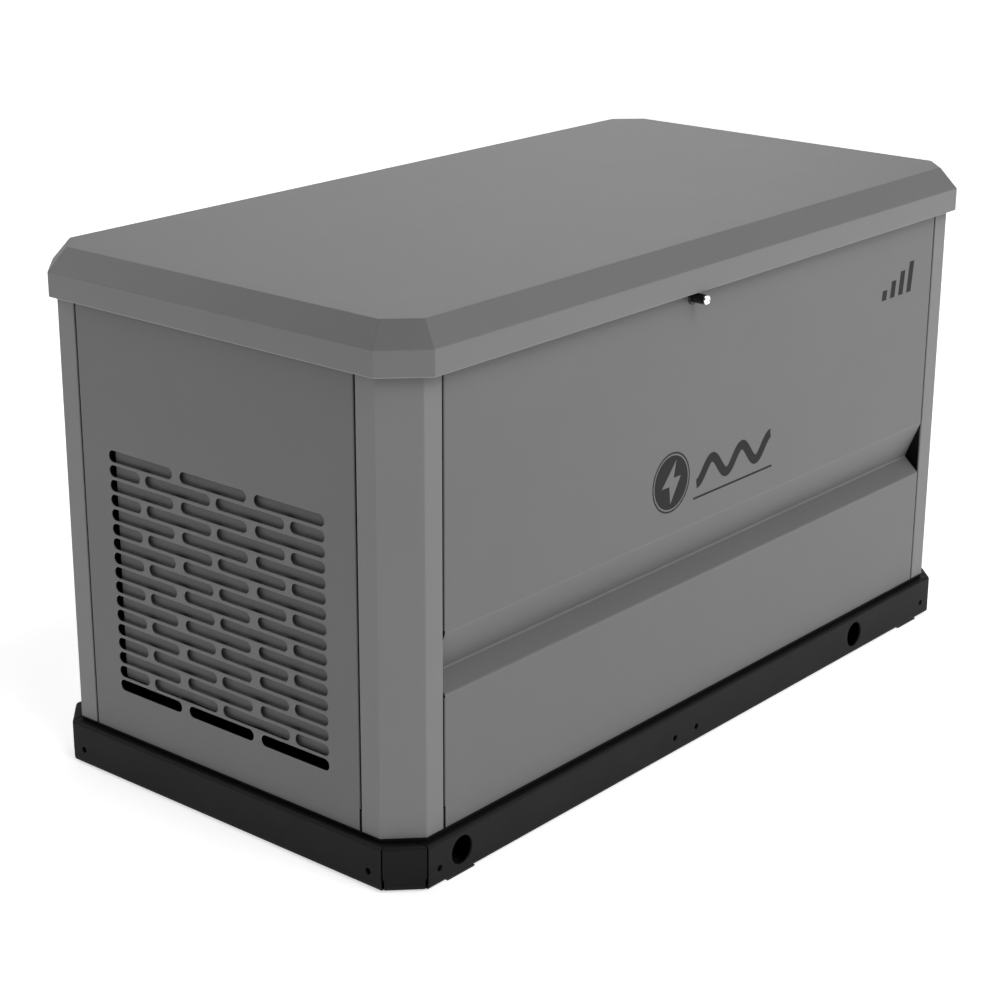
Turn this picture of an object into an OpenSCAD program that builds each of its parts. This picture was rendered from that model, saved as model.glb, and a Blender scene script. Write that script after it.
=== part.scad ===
// Home standby generator: a sheet-metal enclosure with a hinged, gas-strutted lid on a folded
// steel base, over a horizontal-shaft V-twin engine that drives an alternator.
// X runs along the enclosure, the intake grille is at the -X end and the user stands at -Y.
// The origin is under the middle of the unit, on the ground.

/* [Lid] */
// Length of the lid
lid_length = 1218; // [1214:1:1230]
// Width of the lid
lid_width = 634; // [632:1:640]
// Height of the lid's top face above the ground
lid_top = 684.8; // [682:0.2:690]
// Height of the bevel between the skirt and the top face
bevel_height = 28.7; // [26:0.1:30]
// Horizontal width of that bevel
bevel_width = 23; // [20:0.5:26]
// Height of the upright skirt
skirt_height = 31.7; // [30:0.1:33]
// Leg of the lid's cut corners at the skirt
lid_corner = 48; // [44:1:52]
// Leg of the cut corners at the top face
lid_top_corner = 35.7; // [32:0.1:38]
// How far the lid opens, in degrees
lid_opening = 60; // [60:1:60]

/* [Enclosure] */
// Length over the end panels
body_length = 1201; // [1196:1:1204]
// Width over the front and rear panels
body_width = 604.4; // [600:0.2:606]
// Leg of the cut corners
body_corner = 38.4; // [36:0.2:42]
// Height of the panels' lower edge above the ground
panel_bottom = 64.5; // [64:0.5:66]
// Thickness of the enclosure's sheet
sheet = 1.5; // [1.2:0.1:2]
// Width of the corner posts' returns
post_return = 30.5; // [28:0.5:33]
// Gap between neighbouring panels
seam = 1.2; // [0.8:0.1:2]

/* [Front panel] */
// Height where the panel's upper part starts to slope inwards
crease_top = 310; // [305:1:316]
// Height of the deepest line of the crease
crease_line = 255; // [250:1:260]
// Height where the crease comes back to the face
crease_bottom = 234; // [228:1:240]
// Depth of the crease
crease_depth = 22.7; // [18:0.1:24]

/* [Grille] */
// Number of rows of slots
grille_rows = 17; // [9:2:19]
// Distance between rows
grille_pitch = 19.1; // [18:0.1:20]
// Height of a slot
slot_height = 15.2; // [10:0.1:16]
// Width of the slotted field
grille_width = 366.8; // [360:0.1:370]
// Height of the lowest row's centre line
grille_bottom = 132.5; // [128:0.5:140]
// Gap between slots in a row of three
wide_gap = 12.6; // [8:0.1:14]
// Gap between slots in a row of four
narrow_gap = 8.7; // [6:0.1:12]

/* [Base] */
// Length of the base
base_length = 1220; // [1218:1:1226]
// Width of the base
base_width = 624; // [622:1:630]
// Leg of the base's cut corners
base_corner = 39.5; // [38:0.5:42]
// Height of the base rails
rail_height = 57; // [56:0.5:58]
// Thickness of the base steel
rail_sheet = 3; // [2.5:0.5:3]
// Width of the rails' flanges
rail_flange = 30; // [28:1:34]
// Thickness of the foot pads under the rails
foot_height = 2; // [2:0.5:3]
// Diameter of the holes for the lifting bars
lift_hole = 37; // [34:1:38]
// Diameter of the small holes in the rails
rail_hole = 8.6; // [6:0.2:10]

/* [Engine] */
// Distance of the engine's shaft behind the middle
shaft_y = 30; // [30:1:34]
// Height of the shaft
shaft_z = 235; // [235:1:240]
// Radius of the shaft
shaft_r = 17.5; // [17:0.1:18]
// Clearance between a shaft and its bearing
running_gap = 0.05; // [0.02:0.01:0.09]
// Gap between the rotor and the stator
air_gap = 0.8; // [0.6:0.1:1.2]
// Number of blades on the flywheel fan
fan_blades = 20; // [16:1:24]

/* [Hidden] */
$fn = 64;

// Levels and half sizes
eps = 0.5;
lid_hx = lid_length / 2;
lid_hy = lid_width / 2;
skirt_top = lid_top - bevel_height;
skirt_bottom = skirt_top - skirt_height;
body_hx = body_length / 2;
body_hy = body_width / 2;
base_hx = base_length / 2;
base_hy = base_width / 2;
rail_top = foot_height + rail_height;
deck_sheet = 2.5;
deck_top = rail_top + deck_sheet;
rim_top = 90;
panel_top = 640;
frame_bottom = 624;
flange_depth = 18;
flange_low = rim_top + 2;
flange_high = frame_bottom - 2;
post_x = body_hx - body_corner - post_return;
post_y = body_hy - body_corner - post_return;
frame_sheet = 2;
frame_leg = 24;
seal_height = 8;
seal_width = 10;
lid_rest = panel_top + seal_height + 0.3;

// Lifting bars and rail holes
lift_x = [-510.7, 358.8];
lift_z = foot_height + 29.3;
rail_hole_x = [-550.5, -82.2, -34, 547.8];
rail_hole_z = foot_height + 21;
end_hole_y = 252;
end_hole_z = foot_height + 20.4;
anchor_x = 450;
anchor_y = 295;
anchor_r = 6;
foot_x = 511.3;
foot_length = 48.6;
foot_width = 28;
bolt_x = [-430, -150, 150, 450];
bolt_y = 290;
bolt_r = 4;

// Hinge, struts and lock
hinge_y = 319;
hinge_z = 617;
knuckle_r = 6;
pin_r = 3;
hinge_x = [-420, 0, 420];
knuckle_length = 30;
strut_x = 550;
strut_r = 180;
pin_angle = 177;
foot_angle = pin_angle + lid_opening;
strut_pin = [hinge_y + strut_r * cos(pin_angle), hinge_z + strut_r * sin(pin_angle)];
strut_foot = [hinge_y + strut_r * cos(foot_angle), hinge_z + strut_r * sin(foot_angle)];
strut_lean = (pin_angle + foot_angle) / 2 - 180;
strut_closed = 2 * strut_r * sin(lid_opening / 2);
strut_open = 2 * strut_r * sin(lid_opening);
strut_mid = 2 * strut_r * sin(lid_opening * 3 / 4);
lost_motion = strut_mid - (strut_closed + strut_open) / 2 + 1;
tube_r = 9;
rod_r = 4;
stud_r = 3;
lock_x = -62;
lock_z = 615;
lock_r = 6.35;
core_r = 4.6;
lock_front = -325;
lock_back = -284;
cam_length = 28;
cam_width = 12;
keeper_x = [-45, -20];

// Engine and alternator
cradle_top = 125;
cradle_low = 107;
cradle_y = 90;
cradle_x = [-425, -150, 88];
mount_x = [-395, 84];
bank_x = [-48, -12];
bank_side = [-1, 1];
barrel_start = 105;
case_half = 105;
deck_edge = barrel_start * sqrt(2) - case_half;
barrel_end = 205;
head_end = 255;
cover_end = 288;
barrel_r = 48;
fin_r = 64;
bore_r = 37;
port_s = 230;
port_offset = port_s * sin(45);
pipe_r = 16;
head_half_x = 62;
head_half_w = 58;
intake_x = -30;
intake_z = shaft_z + (port_s + head_half_w) / sqrt(2);
intake_reach = (port_s - head_half_w) / sqrt(2);
mixer_z = intake_z + 20;
filter_z = mixer_z + 48;
throttle_z = mixer_z + 14;
throttle_arm = 24;
shroud_r = 150;
shroud_x = [113, 185];
fan_r = 136;
alternator_r = 122;
alternator_x = [-428, -165];
stator_r = 114;
rotor_r = 80;
bulkhead_x = 300;
muffler_x = 430;
muffler_z = 215;
muffler_r = 85;
muffler_half = 215;

// Control box
box_low = [140, -278, 440];
box_high = [300, -195, 605];
button_y = -255;
button_x = [206, 234, 262];
button_r = 7.5;
button_travel = 1.5;
toggle_x = 161;
toggle_y = -237;
toggle_z = 612;
dipstick_x = 95;
dipstick_y = -88;
dipstick_top = 430;
regulator_x = -470;
regulator_z = 170;
inlet_r = 12;
conduit_x = -250;
conduit_z = 130;
conduit_r = 17;

// ---- shapes shared by several pieces ----

// An octagon: a rectangle of half sizes hx and hy with corners cut by legs of length c
function octagon(hx, hy, c) = [[-hx + c, -hy], [hx - c, -hy], [hx, -hy + c], [hx, hy - c],
    [hx - c, hy], [-hx + c, hy], [-hx, hy - c], [-hx, -hy + c]];

// The same octagon with every side moved inwards by d
function inset(hx, hy, c, d) = octagon(hx - d, hy - d, c - d * (2 - sqrt(2)));

function unit(v) = v / norm(v);
function left_of(v) = [-v[1], v[0]];
function edge_normal(p, i) = left_of(unit(p[i + 1] - p[i]));

// One corner of a folded strip: the point moved by d along the mitre of its two edges
function mitre(p, i, d) = let(last = len(p) - 1,
    a = edge_normal(p, max(i - 1, 0)), b = edge_normal(p, min(i, last - 1)))
    p[i] + d * (a + b) / (1 + a * b);

// A folded strip of thickness d on the left of the path
function strip(p, d) = concat(p, [for (i = [len(p) - 1:-1:0]) mitre(p, i, d)]);

module bar_x(r, x0, x1, y, z) translate([x0, y, z]) rotate([0, 90, 0]) cylinder(r = r, h = x1 - x0);
module bar_y(r, y0, y1, x, z) translate([x, y0, z]) rotate([-90, 0, 0]) cylinder(r = r, h = y1 - y0);
module bar_z(r, z0, z1, x, y) translate([x, y, z0]) cylinder(r = r, h = z1 - z0);

// A box between two corners
module block(low, high) translate(low) cube(high - low);

// A flat octagonal ring from z0 to z1, between insets d0 and d1 of the enclosure's outline
module body_ring(d0, d1, z0, z1) difference() {
    translate([0, 0, z0]) linear_extrude(z1 - z0) polygon(inset(body_hx, body_hy, body_corner, d0));
    translate([0, 0, z0 - 1]) linear_extrude(z1 - z0 + 2)
        polygon(inset(body_hx, body_hy, body_corner, d1));
}

// A solid through octagonal rings: each ring is [z, half x, half y, corner leg]
module ring_solid(rings) {
    n = 8;
    points = [for (r = rings) for (p = octagon(r[1], r[2], r[3])) [p[0], p[1], r[0]]];
    last = (len(rings) - 1) * n;
    sides = [for (k = [0:len(rings) - 2]) for (i = [0:n - 1])
        [k * n + i, (k + 1) * n + i, (k + 1) * n + (i + 1) % n, k * n + (i + 1) % n]];
    polyhedron(points, concat([[for (i = [0:n - 1]) i]], sides,
        [[for (i = [n - 1:-1:0]) last + i]]));
}

// Copies at both ends, or on all four corners
module mirror_x() {
    children();
    mirror([1, 0, 0]) children();
}
module mirror_y() {
    children();
    mirror([0, 1, 0]) children();
}

// ---- base ----

// A foot pad with the stud that holds it in the rail's lower flange
module feet() color("#1c1c1c") mirror_x() mirror_y() {
    block([-foot_x - foot_length / 2, -base_hy + 1, 0],
        [-foot_x + foot_length / 2, -base_hy + 1 + foot_width, foot_height]);
    bar_z(stud_r, foot_height - eps, foot_height + rail_sheet + 4, -foot_x, -anchor_y);
}

// A C-section rail on the +Y side of the X axis, from x0 to x1
module rail(x0, x1) translate([x0, 0, foot_height]) rotate([90, 0, 90]) linear_extrude(x1 - x0)
    polygon([[0, 0], [rail_flange, 0], [rail_flange, rail_sheet], [rail_sheet, rail_sheet],
        [rail_sheet, rail_height - rail_sheet], [rail_flange, rail_height - rail_sheet],
        [rail_flange, rail_height], [0, rail_height]]);

module long_rail() difference() {
    translate([0, -base_hy, 0]) rail(-base_hx + base_corner + 1, base_hx - base_corner - 1);
    for (x = lift_x) bar_y(lift_hole / 2, -base_hy - 1, -base_hy + rail_sheet + 1, x, lift_z);
    for (x = rail_hole_x) bar_y(rail_hole / 2, -base_hy - 1, -base_hy + rail_sheet + 1, x, rail_hole_z);
    for (x = [-anchor_x, anchor_x]) bar_z(anchor_r, 0, foot_height + rail_sheet + 1, x, -anchor_y);
    for (x = [-foot_x, foot_x]) bar_z(stud_r + 0.2, 0, foot_height + rail_sheet + 1, x, -anchor_y);
    for (x = bolt_x) bar_z(bolt_r + 0.3, rail_top - rail_sheet - 1, rail_top + 1, x, -bolt_y);
}

module base_long_rails() color("#2b2b2b") mirror_y() long_rail();

module base_end_rails() color("#2b2b2b") mirror_x() difference() {
    translate([-base_hx, 0, 0]) rotate([0, 0, -90])
        rail(-base_hy + base_corner + 1, base_hy - base_corner - 1);
    for (y = [-end_hole_y, end_hole_y])
        bar_x(rail_hole / 2, -base_hx - 1, -base_hx + rail_sheet + 1, y, end_hole_z);
}

// A corner plate: an angled web with triangular flanges and tabs welded under the rails' flanges
module corner_plate() {
    gap = 1.6;
    x = base_hx - base_corner + gap;
    y = base_hy - base_corner + gap;
    web = rail_sheet * sqrt(2);
    far_x = base_hx - gap;
    far_y = base_hy - gap;
    difference() {
        union() {
            for (z = [foot_height, rail_top - rail_sheet]) translate([0, 0, z])
                linear_extrude(rail_sheet) polygon([[-x, -far_y], [-x, -y], [-far_x, -y]]);
            translate([0, 0, foot_height]) linear_extrude(rail_height)
                polygon([[-x, -far_y], [-x, -far_y + web], [-far_x + web, -y], [-far_x, -y]]);
            for (z = [foot_height + rail_sheet, rail_top - 2 * rail_sheet]) translate([0, 0, z])
                linear_extrude(rail_sheet) polygon([[-x, -base_hy + rail_sheet], [-x + 34, -base_hy + rail_sheet],
                    [-x + 34, -y + 4], [-x + 10, -y + 10], [-x + 4, -y + 34], [-base_hx + rail_sheet, -y + 34],
                    [-base_hx + rail_sheet, -y], [-far_x + 2, -y], [-x, -far_y + 2]]);
        }
    }
}

module base_corner_plates() color("#303030") mirror_x() mirror_y() corner_plate();

// A shallow tray that carries the machinery; its rim holds the panels' lower edges
module deck_tray() color("#262626") difference() {
    translate([0, 0, rail_top]) linear_extrude(rim_top - rail_top)
        polygon(inset(body_hx, body_hy, body_corner, sheet));
    translate([0, 0, deck_top]) linear_extrude(rim_top)
        polygon(inset(body_hx, body_hy, body_corner, sheet + deck_sheet));
    for (x = bolt_x) for (y = [-bolt_y, bolt_y]) bar_z(bolt_r + 0.3, rail_top - 1, deck_top + 1, x, y);
}

// Hexagon bolts that hold the tray to the rails
module deck_bolts() color("#8d8f91") for (x = bolt_x) for (y = [-bolt_y, bolt_y]) {
    bar_z(bolt_r, rail_top - 10, deck_top + eps, x, y);
    translate([x, y, deck_top]) cylinder(r = 7, h = 5, $fn = 6);
}

// ---- enclosure ----

// The front left post; the strip's left side faces the inside, and its front flange is notched at
// the height of the panel's crease
module corner_post() difference() {
    translate([0, 0, panel_bottom]) linear_extrude(panel_top - panel_bottom) polygon(strip([
        [-body_hx + flange_depth, -post_y], [-body_hx, -post_y], [-body_hx, -body_hy + body_corner],
        [-body_hx + body_corner, -body_hy], [-post_x, -body_hy], [-post_x, -body_hy + flange_depth]], sheet));
    for (z = [[panel_bottom - 1, flange_low], [flange_high, panel_top + 1]])
        translate([0, 0, z[0]]) linear_extrude(z[1] - z[0])
            polygon(inset(body_hx, body_hy, body_corner, sheet));
    block([-post_x - sheet - 1, -body_hy + sheet, crease_bottom - 6],
        [-post_x + 1, -body_hy + flange_depth + 1, crease_top + 6]);
}

module corner_posts() color("#7d7d7d") mirror_x() mirror_y() corner_post();

// An angle ring round the top of the panels: it carries the seal, and has a notch for the lock
module top_frame() color("#6f6f6f") difference() {
    union() {
        body_ring(sheet, sheet + frame_sheet, frame_bottom, panel_top);
        body_ring(sheet, sheet + frame_leg, panel_top - frame_sheet, panel_top);
    }
    block([lock_x - 10, -287, frame_bottom - 1], [keeper_x[1] + 5, -270, panel_top + 1]);
}

module panel_flanges(half, face) {
    for (s = [-1, 1]) for (z = [[flange_low, crease_bottom - 4], [crease_top + 4, flange_high]])
        block([s * half - (s > 0 ? sheet : 0), face, z[0]],
            [s * half + (s > 0 ? 0 : sheet), face + flange_depth, z[1]]);
}

// The front panel: one folded sheet with a crease along its whole length
module front_panel() color("#828282") difference() {
    union() {
        translate([-post_x + seam, 0, 0]) rotate([90, 0, 90]) linear_extrude(2 * (post_x - seam))
            polygon(strip([[-body_hy, panel_top], [-body_hy, crease_top],
                [-body_hy + crease_depth, crease_line], [-body_hy, crease_bottom],
                [-body_hy, panel_bottom]], sheet));
        panel_flanges(post_x - seam, -body_hy);
    }
    bar_y(lock_r + 0.1, -body_hy - 1, -body_hy + sheet + 1, lock_x, lock_z);
}

module rear_panel() color("#7a7a7a") difference() {
    union() {
        block([-post_x + seam, body_hy - sheet, panel_bottom], [post_x - seam, body_hy, panel_top]);
        mirror([0, 1, 0]) panel_flanges(post_x - seam, -body_hy);
    }
    bar_y(inlet_r + 6.2, body_hy - sheet - 1, body_hy + 1, regulator_x, regulator_z);
    bar_y(conduit_r, body_hy - sheet - 1, body_hy + 1, conduit_x, conduit_z);
}

// One slot with round ends, cut along X from the inside of an end panel
module slot(y0, y1, z) {
    r = slot_height / 2;
    translate([-body_hx - 1, 0, 0]) rotate([90, 0, 90]) linear_extrude(sheet + 2) union() {
        translate([y0 + r, z - r]) square([y1 - y0 - 2 * r, slot_height]);
        translate([y0 + r, z]) circle(r = r);
        translate([y1 - r, z]) circle(r = r);
    }
}

// Rows of three long slots alternate with rows of two short, two long, half a pitch along
module slot_rows() {
    half = grille_width / 2;
    long_a = (grille_width - 2 * wide_gap) / 3;
    long_b = 114.5;
    short = (grille_width - 2 * long_b - 3 * narrow_gap) / 2;
    for (row = [0:grille_rows - 1]) {
        z = grille_bottom + row * grille_pitch;
        if (row % 2 == 0)
            for (k = [0:2]) slot(-half + k * (long_a + wide_gap), -half + k * (long_a + wide_gap) + long_a, z);
        else {
            slot(-half, -half + short, z);
            for (k = [0:1]) slot(-half + short + narrow_gap + k * (long_b + narrow_gap),
                -half + short + narrow_gap + k * (long_b + narrow_gap) + long_b, z);
            slot(half - short, half, z);
        }
    }
}

// The left end panel; the right one is its mirror image
module end_panel() difference() {
    union() {
        block([-body_hx, -post_y + seam, panel_bottom], [-body_hx + sheet, post_y - seam, panel_top]);
        mirror_y() block([-body_hx, -post_y + seam, flange_low],
            [-body_hx + flange_depth, -post_y + seam + sheet, flange_high]);
    }
    slot_rows();
}

module left_grille_panel() color("#6e6e6e") end_panel();
module right_grille_panel() color("#6e6e6e") mirror([1, 0, 0]) end_panel();

// A plate just behind the intake slots, folded back to the panel along its upright edges
module intake_baffle() color("#4a4a4a") difference() {
    low = grille_bottom + slot_height;
    high = grille_bottom + grille_pitch * grille_rows + 10;
    block([-body_hx + sheet, -202, low], [-body_hx + sheet + 14, 202, high]);
    block([-body_hx + sheet - 1, -200.5, low - 1], [-body_hx + sheet + 12.5, 200.5, high + 1]);
    block([-body_hx + sheet - 1, 178, low - 1], [-body_hx + sheet + 12.5, 210, high - 60]);
    block([-body_hx + sheet + 5, 178, low - 1], [-body_hx + sheet + 15, 190, high - 20]);
}

// The wall between the engine bay and the hot exhaust bay
module bulkhead() color("#8a8d90") difference() {
    union() {
        block([bulkhead_x, -274, deck_top], [bulkhead_x + sheet, body_hy - sheet - deck_sheet, 600]);
        block([bulkhead_x, -274, deck_top], [bulkhead_x + 20, body_hy - sheet - deck_sheet, deck_top + sheet]);
    }
    block([bulkhead_x - 1, shaft_y - 84, shaft_z - 84], [bulkhead_x + 3, shaft_y + 84, shaft_z + 84]);
    for (s = bank_side)
        bar_x(pipe_r + 6, bulkhead_x - 1, bulkhead_x + 3, shaft_y + s * port_offset, shaft_z + port_offset);
}

module top_seal() color("#141414")
    body_ring(sheet + 2, sheet + 2 + seal_width, panel_top, panel_top + seal_height);

// ---- hinges, struts and lock ----

// A barrel with a bore, along X
module knuckle(x0, x1, bore) difference() {
    bar_x(knuckle_r, x0, x1, hinge_y, hinge_z);
    bar_x(bore, x0 - 1, x1 + 1, hinge_y, hinge_z);
}

// A leaf on the rear panel that steps out to two knuckles
module hinge_base_leaves() color("#5c5c5c") for (x = hinge_x) {
    for (s = [-1, 1]) knuckle(x + s * (knuckle_length + 0.5) - knuckle_length / 2,
        x + s * (knuckle_length + 0.5) + knuckle_length / 2, pin_r);
    difference() {
        translate([x - 1.5 * knuckle_length - 0.5, 0, 0]) rotate([90, 0, 90])
            linear_extrude(3 * knuckle_length + 1)
            polygon(strip([[body_hy, 566], [body_hy, 596], [hinge_y - 4, hinge_z - 6.5],
                [hinge_y - 4, hinge_z - 2]], -2));
        block([x - knuckle_length / 2 - 0.5, body_hy + 2.5, hinge_z - 12],
            [x + knuckle_length / 2 + 0.5, hinge_y + 10, hinge_z + 10]);
        bar_x(pin_r + 1, x - 2 * knuckle_length, x + 2 * knuckle_length, hinge_y, hinge_z);
    }
}

module hinge_pins() color("#b9bcbf") for (x = hinge_x)
    bar_x(pin_r, x - 1.5 * knuckle_length - 1.5, x + 1.5 * knuckle_length + 1.5, hinge_y, hinge_z);

module lid_hinge_leaves() color("#5c5c5c") for (x = hinge_x) {
    knuckle(x - knuckle_length / 2 + 0.3, x + knuckle_length / 2 - 0.3, pin_r + running_gap);
    difference() {
        block([x - knuckle_length / 2 + 0.3, lid_hy, hinge_z + 1],
            [x + knuckle_length / 2 - 0.3, lid_hy + 2, hinge_z + 10]);
        bar_x(pin_r + 1, x - knuckle_length, x + knuckle_length, hinge_y, hinge_z);
    }
    block([x - 1.5 * knuckle_length, lid_hy, hinge_z + 9], [x + 1.5 * knuckle_length, lid_hy + 2, skirt_top - 4]);
}

// Posts on the end panels that carry the struts' lower eyes
module strut_mounts() color("#8d8f91") mirror_x() {
    block([-body_hx + sheet, strut_foot[0] - 17, strut_foot[1] - 18],
        [-body_hx + sheet + 3, strut_foot[0] + 8, strut_foot[1] + 18]);
    bar_x(7, -body_hx + sheet + 2, -strut_x - 7, strut_foot[0], strut_foot[1]);
    bar_x(stud_r, -strut_x - 8, -strut_x + 7, strut_foot[0], strut_foot[1]);
}

// Puts a strut piece, drawn upwards from its lower eye, in place
module strut_frame(side) translate([side * strut_x, strut_foot[0], strut_foot[1]])
    rotate([strut_lean, 0, 0]) children();

module strut_tube() difference() {
    union() {
        bar_x(7, -5, 5, 0, 0);
        cylinder(r = 5, h = 12);
        bar_z(tube_r, 11, 161, 0, 0);
    }
    bar_x(stud_r + running_gap, -6, 6, 0, 0);
    bar_z(tube_r - 1.5, 15, 155, 0, 0);
    bar_z(rod_r + running_gap, 150, 162, 0, 0);
}

module strut_tubes() color("#202020") for (s = [-1, 1]) strut_frame(s) strut_tube();

// A rod with its piston, and an eye long enough for the small lost motion at mid-travel
module strut_rod() {
    bar_z(tube_r - 1.8, 15.5, 21, 0, 0);
    bar_z(rod_r, 20, 170, 0, 0);
    difference() {
        union() {
            bar_x(8, -4, 4, 0, strut_closed);
            bar_x(8, -4, 4, 0, strut_closed + lost_motion);
            block([-4, -8, strut_closed - 11], [4, 8, strut_closed + lost_motion]);
        }
        bar_x(stud_r + 0.4, -5, 5, 0, strut_closed);
        bar_x(stud_r + 0.4, -5, 5, 0, strut_closed + lost_motion);
        block([-5, -stud_r - 0.4, strut_closed], [5, stud_r + 0.4, strut_closed + lost_motion]);
    }
}

module strut_rods() color("#c9cccf") for (s = [-1, 1]) strut_frame(s) strut_rod();

// Brackets under the lid's frame with the studs for the struts' upper eyes
module lid_strut_brackets() color("#8d8f91") mirror_x() {
    block([-strut_x - 14, strut_pin[0] - 12, strut_pin[1] - 10],
        [-strut_x - 11, strut_pin[0] + 12, lid_rest]);
    block([-strut_x - 30, strut_pin[0] - 12, lid_rest - 3], [-strut_x - 11, strut_pin[0] + 12, lid_rest]);
    bar_x(stud_r, -strut_x - 12, -strut_x + 6, strut_pin[0], strut_pin[1]);
}

module lock_barrel() color("#d5d7d9") difference() {
    union() {
        bar_y(lock_r, lock_front, lock_back, lock_x, lock_z);
        bar_y(9.5, -body_hy - 2, -body_hy, lock_x, lock_z);
        bar_y(8.6, -body_hy + sheet, -body_hy + sheet + 4, lock_x, lock_z);
    }
    bar_y(core_r + running_gap, lock_front - 1, lock_back + 1, lock_x, lock_z);
}

// The turning core: key slot in its face and a cam on its back end
module lock_core() color("#c4c6c8") difference() {
    union() {
        bar_y(core_r, lock_front + 0.6, lock_back + 4, lock_x, lock_z);
        block([lock_x - cam_width / 2, lock_back + 1, lock_z - cam_width / 2],
            [lock_x + cam_width / 2, lock_back + 4, lock_z + cam_length]);
    }
    block([lock_x - 0.7, lock_front - 1, lock_z - 3.2], [lock_x + 0.7, lock_front + 9, lock_z + 3.2]);
}

// ---- lid ----

module lid_shell() color("#8b8b8b") difference() {
    ring_solid([[skirt_bottom, lid_hx, lid_hy, lid_corner], [skirt_top, lid_hx, lid_hy, lid_corner],
        [lid_top, lid_hx - bevel_width, lid_hy - bevel_width, lid_top_corner]]);
    ring_solid([[skirt_bottom - 1, lid_hx - sheet, lid_hy - sheet, lid_corner - sheet],
        [skirt_top - 0.6, lid_hx - sheet, lid_hy - sheet, lid_corner - sheet],
        [lid_top - sheet, lid_hx - bevel_width - 1, lid_hy - bevel_width - 1, lid_top_corner - 0.6]]);
}

// A ring inside the lid that lands on the seal, with an upright inner edge
module lid_frame() color("#6a6a6a") difference() {
    inner_x = strut_x - 12;
    inner_y = 262;
    union() {
        translate([0, 0, lid_rest]) linear_extrude(frame_sheet)
            polygon(octagon(lid_hx - sheet, lid_hy - sheet, lid_corner - sheet));
        translate([0, 0, lid_rest]) linear_extrude(16)
            polygon(octagon(inner_x + frame_sheet, inner_y + frame_sheet, 20));
    }
    translate([0, 0, lid_rest - 1]) linear_extrude(20) polygon(octagon(inner_x, inner_y, 20 - 1.2));
}

module lid_liner() color("#2a2a2a") translate([0, 0, lid_rest + 16])
    linear_extrude(lid_top - sheet - lid_rest - 16) polygon(octagon(580, 288, 34));

// A hooked plate under the lid's frame that the lock's cam catches
module lock_keeper() color("#8d8f91") {
    block([keeper_x[0], -272, 600], [keeper_x[1], -269, lid_rest]);
    block([keeper_x[0], -284, 600], [keeper_x[1], -270, 603]);
    block([keeper_x[0], -272, lid_rest - 3], [keeper_x[1], -256, lid_rest]);
}

// ---- engine ----

// Puts a piece of one cylinder bank, drawn along +Z from the shaft's axis, in place
module bank(k) translate([bank_x[k], shaft_y, shaft_z]) rotate([-45 * bank_side[k], 0, 0]) children();

// Two box rails and three cross-members under the engine and the alternator
module engine_cradle() color("#3a3a3a") {
    for (s = [-1, 1]) difference() {
        block([-425, shaft_y + s * cradle_y - 18, cradle_low], [110, shaft_y + s * cradle_y + 18, cradle_top]);
        block([-426, shaft_y + s * cradle_y - 14, cradle_low + 4], [111, shaft_y + s * cradle_y + 14, cradle_top - 4]);
    }
    for (x = cradle_x) block([x, shaft_y - cradle_y + 17, cradle_low],
        [x + 20, shaft_y + cradle_y - 17, cradle_low + 5]);
}

// Rubber mounts with steel plates moulded in
module engine_mounts() color("#1b1b1b") for (x = mount_x) for (s = [-1, 1]) {
    bar_z(24, deck_top, deck_top + 4, x, shaft_y + s * cradle_y);
    bar_z(18, deck_top + 4, cradle_low - 4, x, shaft_y + s * cradle_y);
    bar_z(22, cradle_low - 4, cradle_low, x, shaft_y + s * cradle_y);
}

// The crankcase, with the bay for the crank's webs, bearing seats and the dipstick tube's boss
module crankcase() color("#9a9da0") difference() {
    union() {
        translate([-150, shaft_y, shaft_z]) rotate([90, 0, 90]) linear_extrude(260)
            polygon([[-case_half, cradle_top - shaft_z], [case_half, cradle_top - shaft_z],
                [case_half, deck_edge], [deck_edge, case_half], [-deck_edge, case_half], [-case_half, deck_edge]]);
        for (x = [-120, -75, 50, 95]) block([x - 3, shaft_y - 110, cradle_top], [x + 3, shaft_y + 110, 265]);
        block([dipstick_x - 12, dipstick_y - 12, 236], [dipstick_x + 12, shaft_y - 100, 262]);
        bar_z(8, 236, dipstick_top, dipstick_x, dipstick_y);
    }
    bar_x(72, -125, 85, shaft_y, shaft_z);
    bar_x(30, -151, 111, shaft_y, shaft_z);
    for (k = [0, 1]) bank(k) bar_z(bore_r, 60, barrel_start + 2, 0, 0);
    bar_z(5, 244, dipstick_top + 1, dipstick_x, dipstick_y);
}

// Finned barrels
module cylinder_barrels() color("#a8abae") for (k = [0, 1]) bank(k) difference() {
    union() {
        bar_z(barrel_r, barrel_start, barrel_end, 0, 0);
        for (i = [0:8]) bar_z(fin_r, barrel_start + 6 + i * 10.5, barrel_start + 9 + i * 10.5, 0, 0);
    }
    bar_z(bore_r, barrel_start - 1, barrel_end + 1, 0, 0);
}

// Finned heads
module cylinder_heads() color("#a2a5a8") for (k = [0, 1]) bank(k) difference() {
    block([-head_half_x, -head_half_w, barrel_end], [head_half_x, head_half_w, head_end]);
    for (i = [0:3]) for (s = [-1, 1])
        block([s * 53 - 12, -70, barrel_end + 6 + i * 11], [s * 53 + 12, 70, barrel_end + 11 + i * 11]);
}

module rocker_covers() color("#3b3d3f") for (k = [0, 1]) bank(k) {
    block([-50, -46, head_end], [50, 46, head_end + 6]);
    difference() {
        block([-45, -41, head_end + 5], [45, 41, cover_end]);
        block([-42, -38, head_end + 4], [42, 38, cover_end - 3]);
    }
}

// Plugs with their caps, on the heads' left faces
module spark_plugs() color("#1f1f1f") for (k = [0, 1]) bank(k) {
    bar_x(7, -head_half_x - 18, -head_half_x, 0, port_s);
    bar_x(11, -head_half_x - 52, -head_half_x - 17, 0, port_s);
}

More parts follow.
